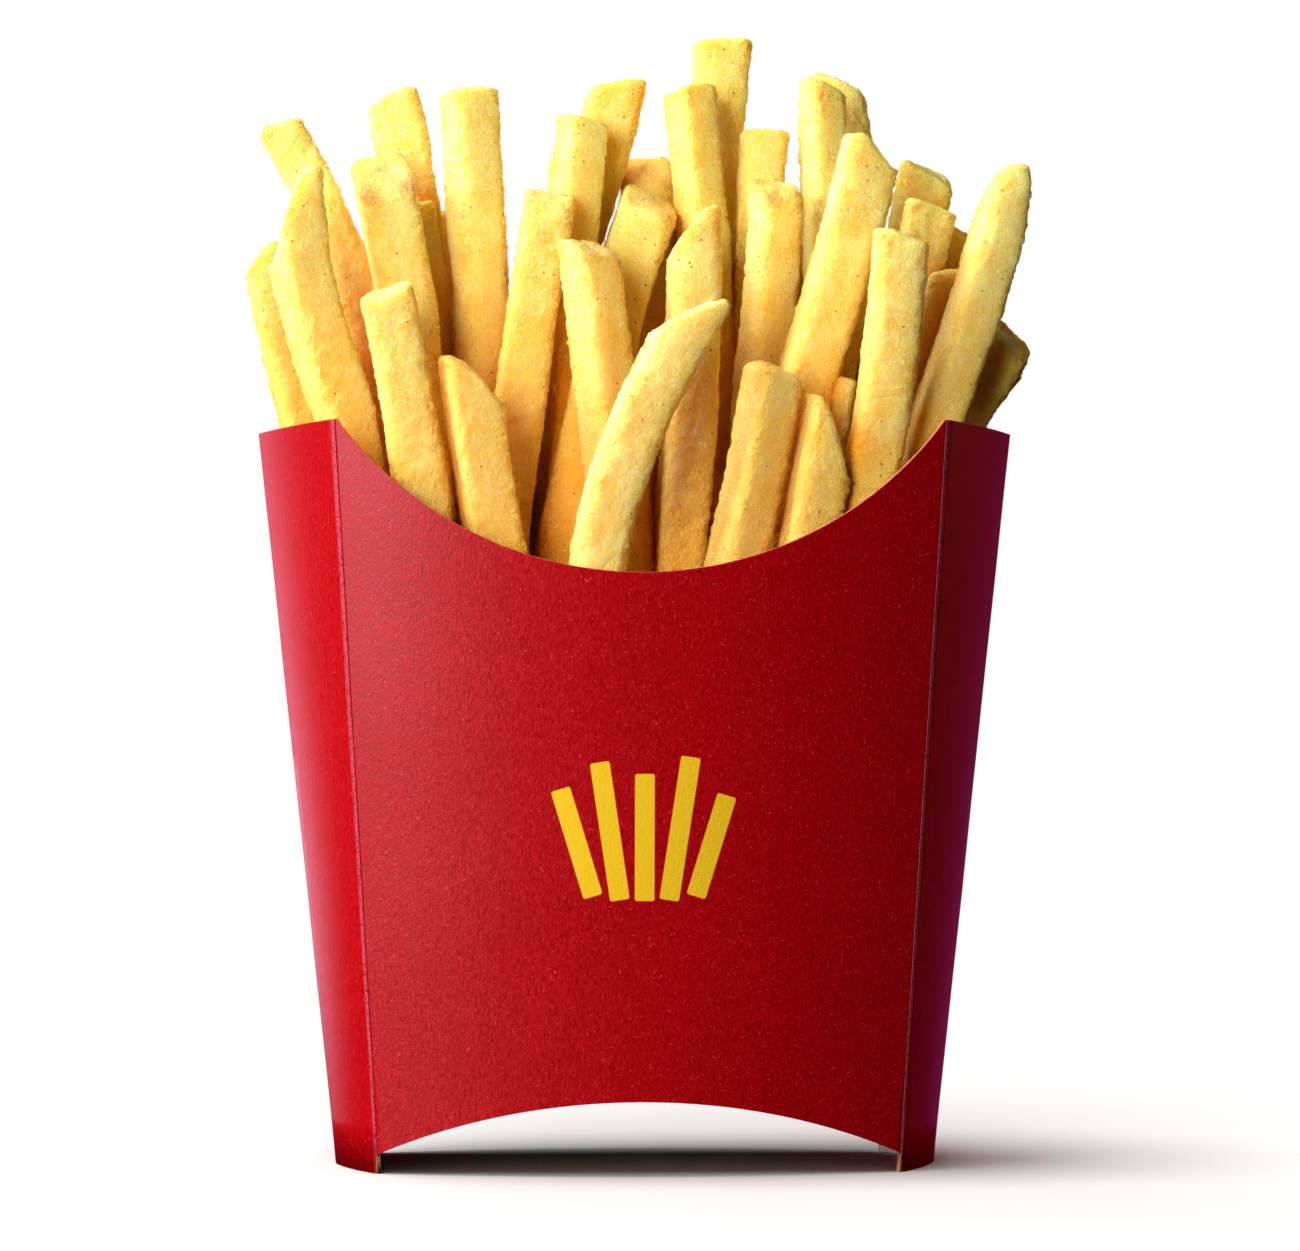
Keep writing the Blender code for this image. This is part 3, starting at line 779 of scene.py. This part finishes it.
def lattice(seed, cells):
    """One repeatable value in -1..1 for each whole-number cell."""
    mixed = cells.astype(np.int64) * np.array((73856093, 19349663, 83492791), np.int64)
    code = mixed[..., 0] ^ mixed[..., 1] ^ mixed[..., 2] ^ (seed * 2654435761 % 2147483647)
    code = (code ^ (code >> 13)) * 1274126177
    code = (code ^ (code >> 16)) & 0x7FFFFFFF
    return code / float(0x7FFFFFFF) * 2.0 - 1.0


def lumps(points, size, seed):
    """Smooth unevenness with bumps of about the given size."""
    scaled = points / size
    cell = np.floor(scaled)
    part = scaled - cell
    part = part * part * (3.0 - 2.0 * part)
    total = np.zeros(len(points))
    for corner in range(8):
        step = np.array((corner & 1, corner >> 1 & 1, corner >> 2 & 1), float)
        weight = np.prod(np.where(step > 0.5, part, 1.0 - part), axis=1)
        total += weight * lattice(seed, cell + step)
    return total


# Where the skin starts, from where it is finely lumpy, and how its end is rounded
SKIN_FROM = 77.0
CRUST_FROM = 86.0
COARSE_PITCH = 3.0
AXIS_STEPS = 400
AXIS_SOFTNESS = 24
SOFT_END = (0.6, 1.3)
CAP_RINGS = 9

# Painted shade: how far the fries' colour is taken towards orange, for the shade and bounced light
# between them, towards the foot of the heap, by layer and where fries crowd
DEEP_FROM = 144.0
DEEP_REACH = 46.0
DEEP_FRONT = 0.30
DEEP_LAYER = 0.19
CROWD_REACH = 3.0
CROWD_SHARE = 1.15


def crowding(points, own, heap_axes):
    """How closely the other fries stand round each point, from 0 to 1."""
    reach = CROWD_REACH * 2.5
    low, high = points.min(axis=0) - reach - 4.0, points.max(axis=0) + reach + 4.0
    gap = np.full(len(points), 99.0)
    for axis, half in heap_axes:
        if axis is own:
            continue
        near = axis[np.all((axis > low) & (axis < high), axis=1)]
        if len(near) == 0:
            continue
        apart = np.full(len(points), 1e9)
        for spot in near:
            apart = np.minimum(apart, ((points - spot) ** 2).sum(axis=1))
        gap = np.minimum(gap, np.sqrt(apart) - half)
    return np.exp(-np.maximum(gap, 0.0) / CROWD_REACH)


def fry_line(fry):
    """The fry's middle line as closely spaced points, and half its thickness."""
    points = fry_axis(fry)
    length = path_length(points)
    count = max(2, int(length / 2.0))
    line = [tuple(along(points, length * k / count)[0]) for k in range(count)]
    return np.array(line), 0.5 * fry[5]


def fry_skin(fry, number, sides, pitch, brown_end, tone, heap_axes, own):
    """Points, faces and shade values of one finished fry."""
    draw = random.Random(SEED * 100 + number)
    thick, roll, cut, face, point = fry[5], fry[7], fry[8], fry[9], fry[10]
    axis = np.array([tuple(spot) for spot in fry_axis(fry)])
    steps = np.linalg.norm(np.diff(axis, axis=0), axis=1)
    reach = np.concatenate(([0.0], np.cumsum(steps)))
    length = reach[-1]
    dense = np.linspace(0.0, length, AXIS_STEPS)
    smooth = np.column_stack([np.interp(dense, reach, axis[:, k]) for k in range(3)])
    window = AXIS_SOFTNESS
    padded = np.vstack((smooth[:1] * 2 - smooth[window:0:-1], smooth,
                        smooth[-1:] * 2 - smooth[-2:-window - 2:-1]))
    kernel = np.hanning(2 * window + 1)
    kernel /= kernel.sum()
    smooth = np.column_stack([np.convolve(padded[:, k], kernel, "valid") for k in range(3)])
    start = dense[np.searchsorted(smooth[:, 2], SKIN_FROM)]
    crust = dense[np.searchsorted(smooth[:, 2], min(CRUST_FROM, smooth[-1, 2] - 8.0))]
    soft_end = draw.uniform(*SOFT_END)
    low = np.arange(start, crust, COARSE_PITCH)
    high = np.linspace(crust, length - soft_end, max(6, int((length - crust) / pitch)))
    end = length - soft_end * np.cos(np.linspace(0.15, 0.5 * math.pi, 7))
    stations = np.concatenate((low, high, end))
    from_tip = length - stations
    spots = np.column_stack([np.interp(stations, dense, smooth[:, k]) for k in range(3)])
    tangent = np.gradient(smooth, axis=0)
    ahead = np.column_stack([np.interp(stations, dense, tangent[:, k]) for k in range(3)])
    ahead /= np.linalg.norm(ahead, axis=1)[:, None]
    across = np.cross(np.array((0.0, 1.0, 0.0)), ahead)
    across /= np.linalg.norm(across, axis=1)[:, None]
    deep = np.cross(ahead, across)

    half = 0.5 * thick
    square = draw.uniform(4.2, 6.0)
    wide = draw.uniform(0.95, 1.06)
    half_u, half_v = half * wide, half / wide
    theta = np.linspace(0.0, 2.0 * math.pi, sides, endpoint=False)
    theta = theta + 0.085 * np.sin(4.0 * theta)
    cosine, sine = np.cos(theta), np.sin(theta)
    radius = (np.abs(cosine / half_u) ** square + np.abs(sine / half_v) ** square) ** (-1 / square)
    p, q = radius * cosine, radius * sine

    size = np.ones(len(stations))
    if point > POINTED:
        near = from_tip < point
        size[near] = 0.3 + 0.7 * np.sqrt(1.0 - (1.0 - from_tip[near] / point) ** 2)
    drift = np.column_stack((stations, stations * 0, stations * 0 + number * 9.7))
    size *= 1.0 + 0.025 * lumps(drift, 14.0, number) + 0.012 * lumps(drift, 5.0, number + 7)
    rounding = np.clip(1.0 - from_tip / soft_end, 0.0, 1.0)
    inset = soft_end * (1.0 - np.sqrt(1.0 - rounding ** 2))
    ring_size = np.maximum(0.2, size - 0.8 * inset / half)
    twist = math.radians(draw.uniform(-5.0, 5.0)) * (from_tip / length - 0.4)
    turn = math.radians(roll) + twist
    blend = blend_length(fry)
    share = np.clip(1.0 - from_tip / blend, 0.0, 1.0)

    rise = math.tan(math.radians(cut)), math.tan(math.radians(face))
    steepest = max(1e-6, half * (abs(rise[0]) + abs(rise[1])))

    def spread(scale, turn_by, share_by, centre, side_way, deep_way, on_way):
        u = scale[:, None] * (p * np.cos(turn_by)[:, None] - q * np.sin(turn_by)[:, None])
        v = scale[:, None] * (p * np.sin(turn_by)[:, None] + q * np.cos(turn_by)[:, None])
        slope = np.clip((u * rise[0] + v * rise[1]) / steepest, -1.0, 1.0)
        domed = 2.0 * np.sin(0.25 * math.pi * (1.0 + slope)) - 1.0
        slide = share_by[:, None] * steepest * domed
        place = (centre[:, None, :] + u[..., None] * side_way[:, None, :]
                 + v[..., None] * deep_way[:, None, :] + slide[..., None] * on_way[:, None, :])
        out = u[..., None] * side_way[:, None, :] + v[..., None] * deep_way[:, None, :]
        return place, out

    side_points, side_out = spread(ring_size, turn, share, spots, across, deep, ahead)
    side_out /= np.linalg.norm(side_out, axis=2)[..., None]
    shrink = np.linspace(1.0, 0.0, CAP_RINGS + 2)[1:-1]
    last = np.repeat(len(stations) - 1, CAP_RINGS)
    cap_points, _ = spread(ring_size[last] * shrink, turn[last], share[last], spots[last],
                           across[last], deep[last], ahead[last])
    cap_normal = ahead[-1] - across[-1] * math.tan(math.radians(cut))
    cap_normal = cap_normal - deep[-1] * math.tan(math.radians(face))
    cap_normal /= np.linalg.norm(cap_normal)
    cap_out = np.broadcast_to(cap_normal, cap_points.shape)
    points = np.concatenate((side_points.reshape(-1, 3), cap_points.reshape(-1, 3),
                             spots[-1:] + 0.0))
    outward = np.concatenate((side_out.reshape(-1, 3), cap_out.reshape(-1, 3), cap_normal[None]))
    corner = (np.abs(p / half_u) * np.abs(q / half_v)) ** 2.0
    cap_corner = shrink[:, None] ** 6 * corner[None, :]
    on_edge = np.concatenate((np.tile(corner, len(stations)), cap_corner.ravel(), [0.0]))
    ring_tip = np.concatenate((from_tip, np.zeros(CAP_RINGS)))
    near_tip = np.append(np.repeat(ring_tip, sides), 0.0)
    blister = lumps(points, 1.3, 3 + number)
    grain = np.random.default_rng(number).uniform(-1.0, 1.0, len(points))
    bumps = (0.20 * lumps(points, 7.5, 1 + number) + 0.06 * lumps(points, 2.6, 2 + number)
             + 0.09 * np.abs(blister) * blister + (0.09 + 0.20 * on_edge)
             * lumps(points, 0.9, 4 + number) + (0.11 + 0.14 * on_edge) * grain)
    ragged = (0.40 * lumps(points, 3.1, 11 + number) + 0.22 * lumps(points, 1.2, 12 + number)
              - 0.10) * np.exp(-near_tip / 1.4)
    points = points + outward * (bumps - 0.08)[:, None] + ahead[-1] * ragged[:, None]

    rings = len(stations) + CAP_RINGS
    ring_index = np.arange(rings * sides).reshape(rings, sides)
    a = ring_index[:-1].ravel()
    b = np.roll(ring_index, -1, axis=1)[:-1].ravel()
    c = np.roll(ring_index, -1, axis=1)[1:].ravel()
    d = ring_index[1:].ravel()
    faces = [tuple(quad) for quad in np.column_stack((a, b, c, d)).tolist()]
    centre = rings * sides
    tip_ring = ring_index[-1].tolist()
    for k in range(sides):
        faces.append((tip_ring[k], tip_ring[(k + 1) % sides], centre))
    faces.append(tuple(ring_index[0].tolist()[::-1]))

    at_end = np.exp(-near_tip / 2.0)
    brown = 0.72 * on_edge + brown_end * at_end * (0.6 + 0.4 * on_edge)
    brown += 0.16 * lumps(points, 6.0, 9 + number) + 0.12 * lumps(points, 2.4, 10 + number)
    tones = np.full(len(points), tone)
    # Painted shade: orange low in the heap, further back and where other fries stand close, where
    # shade and bounced light fall
    low = np.clip((DEEP_FROM - points[:, 2]) / DEEP_REACH, 0.0, 1.0)
    crowd = crowding(points, own, heap_axes)
    painted_shade = low * (DEEP_FRONT + DEEP_LAYER * fry[6]) + CROWD_SHARE * crowd * crowd
    painted_shade = np.clip(painted_shade, 0.0, 1.0)
    return points, faces, np.clip(brown, 0.0, 1.0), tones, painted_shade


def heap_mesh(name, skins):
    """Many fries as one mesh."""
    points, faces, browns, tones, painted_shades = [], [], [], [], []
    base = 0
    for skin_points, skin_faces, brown, tone, painted_shade in skins:
        points.append(skin_points)
        faces.extend([tuple(index + base for index in skin_face) for skin_face in skin_faces])
        browns.append(brown)
        tones.append(tone)
        painted_shades.append(painted_shade)
        base += len(skin_points)
    mesh = bpy.data.meshes.new(name)
    mesh.from_pydata((np.concatenate(points) * MM).tolist(), [], faces)
    for label, values in (("brown", browns), ("tone", tones), ("painted_shade", painted_shades)):
        layer = mesh.attributes.new(label, 'FLOAT', 'POINT')
        layer.data.foreach_set("value", np.concatenate(values).astype(np.float32))
    mesh.shade_smooth()
    mesh.update()
    heap = bpy.data.objects.new(name, mesh)
    scene.collection.objects.link(heap)
    return heap


# The potato, each for the yellowest and the palest fry, and its crust
PALE = ((0.98, 0.83, 0.29), (0.98, 0.80, 0.17))
GOLDEN = ((0.96, 0.65, 0.11), (0.97, 0.63, 0.055))
FLOURY = (0.99, 0.92, 0.50)
PAINTED_SHADE_ORANGE = (0.97, 0.36, 0.008)
CRISP = (0.80, 0.43, 0.055)
BROWNED = (0.42, 0.18, 0.03)
SPECK = (0.22, 0.085, 0.02)
GLOW = (1.0, 0.85, 0.4)
GLOW_REACH = 0.0035


def fried_potato():
    """Fried potato: golden, slightly see-through, with a fine dry crust and oily shine."""
    material, tree, shader = new_material("fried_potato")
    place = node(tree, "ShaderNodeTexCoord").outputs["Object"]
    tone = carried(tree, "tone")
    brown = carried(tree, "brown")
    painted_shade = carried(tree, "painted_shade")
    blotch = fine_noise(tree, place, 210.0, 3.0, 0.6)
    grain = fine_noise(tree, place, 1900.0, 3.0, 0.65)
    dust = fine_noise(tree, place, 4200.0, 2.0, 0.5)
    pale = blend_colour(tree, tone, *PALE)
    golden = blend_colour(tree, tone, *GOLDEN)
    skin = blend_colour(tree, ramp(tree, blotch, 0.36, 0.66), pale, golden)
    skin = tinted(tree, skin, ramp(tree, grain, 0.48, 0.60), 0.6, FLOURY)
    # Painted shade: the skin is taken towards deep orange low in the heap, far back and between
    # crowded fries
    skin = tinted(tree, skin, painted_shade, 0.95, PAINTED_SHADE_ORANGE)
    crust = sums(tree, 'MULTIPLY_ADD', brown, 0.55, grain)
    skin = tinted(tree, skin, ramp(tree, crust, 0.68, 0.82), 0.8, CRISP)
    skin = tinted(tree, skin, ramp(tree, crust, 0.88, 1.15), 0.8, BROWNED)
    cells = node(tree, "ShaderNodeTexVoronoi")
    cells.inputs["Scale"].default_value = 640.0
    tree.links.new(place, cells.inputs["Vector"])
    speck = sums(tree, 'SUBTRACT', 1.0, ramp(tree, cells.outputs["Distance"], 0.08, 0.15))
    chosen = node(tree, "ShaderNodeSeparateColor")
    tree.links.new(cells.outputs["Color"], chosen.inputs[0])
    speck = sums(tree, 'MULTIPLY', speck, ramp(tree, chosen.outputs[0], 0.74, 0.80))
    skin = tinted(tree, skin, speck, 0.8, SPECK)
    tree.links.new(skin, shader.inputs["Base Color"])
    rough = sums(tree, 'MULTIPLY_ADD', ramp(tree, dust, 0.3, 0.7), 0.24, 0.17)
    tree.links.new(rough, shader.inputs["Roughness"])
    shader.inputs["Specular IOR Level"].default_value = 0.6
    # Where shade is painted, less light scatters beneath the skin
    clear = sums(tree, 'MULTIPLY_ADD', ramp(tree, painted_shade, 0.6, 0.95), -0.85, 1.0)
    tree.links.new(clear, shader.inputs["Subsurface Weight"])
    shader.inputs["Subsurface Radius"].default_value = GLOW
    shader.inputs["Subsurface Scale"].default_value = GLOW_REACH
    bumped(tree, shader, sums(tree, 'MULTIPLY_ADD', dust, 0.40, grain), 1.0, 0.0006)
    return material


measured = [fitted(fry) for fry in FRIES]
behind = [fry for fry in (fitted(fry) for fry in back_fries()) if fry is not None]
between = [fitted(fry) for fry in fill_fries([f for f in measured if f] + behind)]
behind += [fitted(fry) for fry in BETWEEN]
potato = fried_potato()
shade = random.Random(SEED + 5)
lines = {id(fry): fry_line(fry) for fry in measured + behind + between if fry is not None}
heaps = []

# Each group's fries, their first number, the sides of a fry and its steps' length
for name, group, first, sides, pitch in (
        ("fries_front_left", measured[:9], 0, 64, 0.47),
        ("fries_front_middle_left", measured[9:18], 9, 64, 0.47),
        ("fries_front_middle_right", measured[18:27], 18, 64, 0.47),
        ("fries_front_right", measured[27:], 27, 64, 0.47),
        ("fries_back_left", behind[:15], 100, 44, 0.85),
        ("fries_back_right", behind[15:], 115, 44, 0.85),
        ("fries_between", between, 200, 36, 1.1)):
    skins = []
    for count, fry in enumerate(group):
        if fry is None:
            continue
        number = first + count
        yellow = min(1.0, max(0.0, 0.16 * fry[6] + 0.2 + shade.uniform(-0.2, 0.2)))
        browned = BROWN_END.get(number, shade.uniform(0.1, 0.45))
        skins.append(fry_skin(fry, number, sides, pitch, browned, yellow, lines.values(),
                              lines[id(fry)][0]))
    heap = heap_mesh(name, skins)
    heap.data.materials.append(potato)
    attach(heap, "root")
    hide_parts("fries")
    heaps.append(heap)

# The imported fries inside: the lower fries lie so tightly in the carton that only the
# lumpy top of the pack shows, in shadow, down between the standing ones.
PACK_TOP = 80.0
PACK_BUMP = 2.4
PACK_COLUMNS = 56
PACK_ROWS = 30


def build_pack():
    bm = bmesh.new()
    reach = crease_half(PACK_TOP)
    while inner_wall(reach, PACK_TOP) < 0.6:
        reach -= 0.1
    grid = []
    for column in range(PACK_COLUMNS + 1):
        u = -1.0 + 2.0 * column / PACK_COLUMNS
        x_top = u * reach
        x_low = u * FLAP_REACH
        z_low = arch(x_low) + BOARD + GAP + 0.1
        deep_top = inner_wall(x_top, PACK_TOP)
        deep_low = inner_wall(x_low, z_low)
        top = []
        for row in range(PACK_ROWS + 1):
            v = -1.0 + 2.0 * row / PACK_ROWS
            spot = np.array([[x_top, v * deep_top, 5.0]])
            inside = 0 < row < PACK_ROWS and 0 < column < PACK_COLUMNS
            bump = PACK_BUMP * lumps(spot, 6.0, 77)[0] if inside else 0.0
            top.append(bm.verts.new((x_top, v * deep_top, PACK_TOP - 2.0 + bump)))
        under = [bm.verts.new((x_low, side * deep_low, z_low)) for side in (-1, 1)]
        grid.append((top, under))
    for (top, under), (next_top, next_under) in zip(grid, grid[1:]):
        for row in range(PACK_ROWS):
            bm.faces.new((top[row], next_top[row], next_top[row + 1], top[row + 1]))
        bm.faces.new((under[0], next_under[0], next_under[1], under[1]))
        bm.faces.new((under[0], next_under[0], next_top[0], top[0]))
        bm.faces.new((under[1], next_under[1], next_top[-1], top[-1]))
    for top, under in (grid[0], grid[-1]):
        bm.faces.new([under[0]] + top + [under[1]])
    bmesh.ops.recalc_face_normals(bm, faces=bm.faces)
    for vert in bm.verts:
        vert.co *= MM
    pack = as_object(bm, "fries_packed")
    pack.data.shade_smooth()
    pack.data.set_sharp_from_angle(angle=math.radians(50.0))
    return pack


pack = build_pack()
pack.data.materials.append(potato)
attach(pack, "root")
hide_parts("fries")

# The studio: a white paper floor in a white room. The floor has broad lights of its
# own for the soft shadow, and the carton and the fries each have their own softboxes,
# on the left, in front, behind and, weaker, on the right.
MIDDLE = Vector((0.0, 0.0, 0.10))
FLOOR_REACH = 6.0


def build_floor():
    bm = bmesh.new()
    corners = ((-1, -1), (1, -1), (1, 1), (-1, 1))
    bm.faces.new([bm.verts.new((x * FLOOR_REACH, y * FLOOR_REACH, 0.0)) for x, y in corners])
    floor = as_object(bm, "paper_floor")
    material, tree, shader = new_material("white_paper")
    place = node(tree, "ShaderNodeTexCoord").outputs["Object"]
    tooth = fine_noise(tree, place, 40.0, 2.0, 0.5)
    tree.links.new(blend_colour(tree, tooth, (0.93, 0.925, 0.92), (0.95, 0.95, 0.95)),
                   shader.inputs["Base Color"])
    shader.inputs["Roughness"].default_value = 0.9
    floor.data.materials.append(material)
    floor.visible_diffuse = False
    floor.visible_glossy = False
    return floor


def aimed(lamp, place):
    lamp.location = place
    lamp.rotation_euler = (MIDDLE - Vector(place)).to_track_quat('-Z', 'Y').to_euler()
    scene.collection.objects.link(lamp)
    return lamp


def softbox(name, takers, place, width, height, watts, colour=(1.0, 1.0, 1.0), gloss=False,
            fill=True):
    """A soft lamp that lights only its takers; without fill it gives them just a sheen."""
    light = bpy.data.lights.new(name, 'AREA')
    light.shape = 'RECTANGLE'
    light.size = width
    light.size_y = height
    light.energy = watts
    light.color = colour
    lamp = aimed(bpy.data.objects.new(name, light), place)
    lamp.visible_glossy = gloss
    lamp.visible_diffuse = fill
    lamp.light_linking.receiver_collection = takers
    return lamp


def skylight(name, place, spread, strength, colour):
    """A broad distant light that only the floor takes."""
    light = bpy.data.lights.new(name, 'SUN')
    light.energy = strength
    light.angle = math.radians(spread)
    light.color = colour
    lamp = aimed(bpy.data.objects.new(name, light), place)
    lamp.light_linking.receiver_collection = floor_only


def taken_by(name, things):
    """The things that a lamp lights, gathered under one name."""
    takers = bpy.data.collections.new(name)
    for thing in things:
        takers.objects.link(thing)
    return takers


floor_only = taken_by("floor_only", [build_floor()])
carton_only = taken_by("carton_only", [carton])
fries_only = taken_by("fries_only", heaps + [pack])
skylight("sky", (-0.19, -0.04, 1.1), 24.0, 2.4, (1.0, 0.99, 0.98))
skylight("sky_front", (-0.24, -0.55, 1.0), 34.0, 1.0, (1.0, 0.98, 0.96))
skylight("sky_behind", (-0.30, 0.45, 0.9), 34.0, 0.5, (0.95, 0.98, 1.0))
skylight("floor_glow", (-0.1, -1.0, 0.30), 50.0, 0.8, (1.0, 0.70, 0.55))
LEFT = (-0.75, -0.18, 0.45)
BACK_LEFT = (-0.62, 0.95, 0.45)
softbox("fries_top", fries_only, (-0.44, 0.16, 1.0), 0.8, 0.8, 9.5, gloss=True)
softbox("fries_left", fries_only, LEFT, 0.4, 0.6, 13.5, gloss=True)
softbox("fries_front", fries_only, (-0.36, -0.72, 0.28), 0.3, 0.5, 8.6)
softbox("fries_back_left", fries_only, BACK_LEFT, 0.6, 0.6, 17.0)
softbox("fries_back_right", fries_only, (0.42, 1.05, 0.45), 0.6, 0.6, 8.5)
softbox("fries_right", fries_only, (1.1, -0.1, 0.25), 0.6, 0.6, 0.8)
softbox("carton_left", carton_only, LEFT, 0.5, 0.6, 5.4)
softbox("carton_front", carton_only, (-0.43, -0.28, 0.51), 0.25, 0.25, 4.5)
softbox("carton_right", carton_only, (1.0, 0.35, 0.30), 0.6, 0.6, 5.5)
softbox("carton_back", carton_only, (0.30, 1.10, 0.45), 0.6, 0.6, 9.0)
softbox("left_strip", carton_only, (-0.66, -0.75, 0.20), 0.16, 0.6, 14.0,
        colour=(0.96, 0.90, 1.0), gloss=True)
softbox("fold_sheen", carton_only, (-0.98, 0.0, 0.20), 0.2, 0.6, 1.0,
        colour=(1.0, 0.85, 0.95), gloss=True, fill=False)
softbox("left_sheen", carton_only, (-0.50, 0.87, 0.20), 0.36, 0.6, 2.0,
        colour=(1.0, 0.62, 0.85), gloss=True, fill=False)
softbox("right_sheen", carton_only, (0.47, 0.88, 0.20), 0.4, 0.7, 0.22,
        colour=(1.0, 0.15, 1.0), gloss=True, fill=False)

room = bpy.data.worlds.new("room")
room.use_nodes = True
room.node_tree.nodes["Background"].inputs["Color"].default_value = (1.0, 1.0, 1.0, 1.0)
room.node_tree.nodes["Background"].inputs["Strength"].default_value = 1.0
room.cycles_visibility.diffuse = False
room.cycles_visibility.glossy = False
scene.world = room
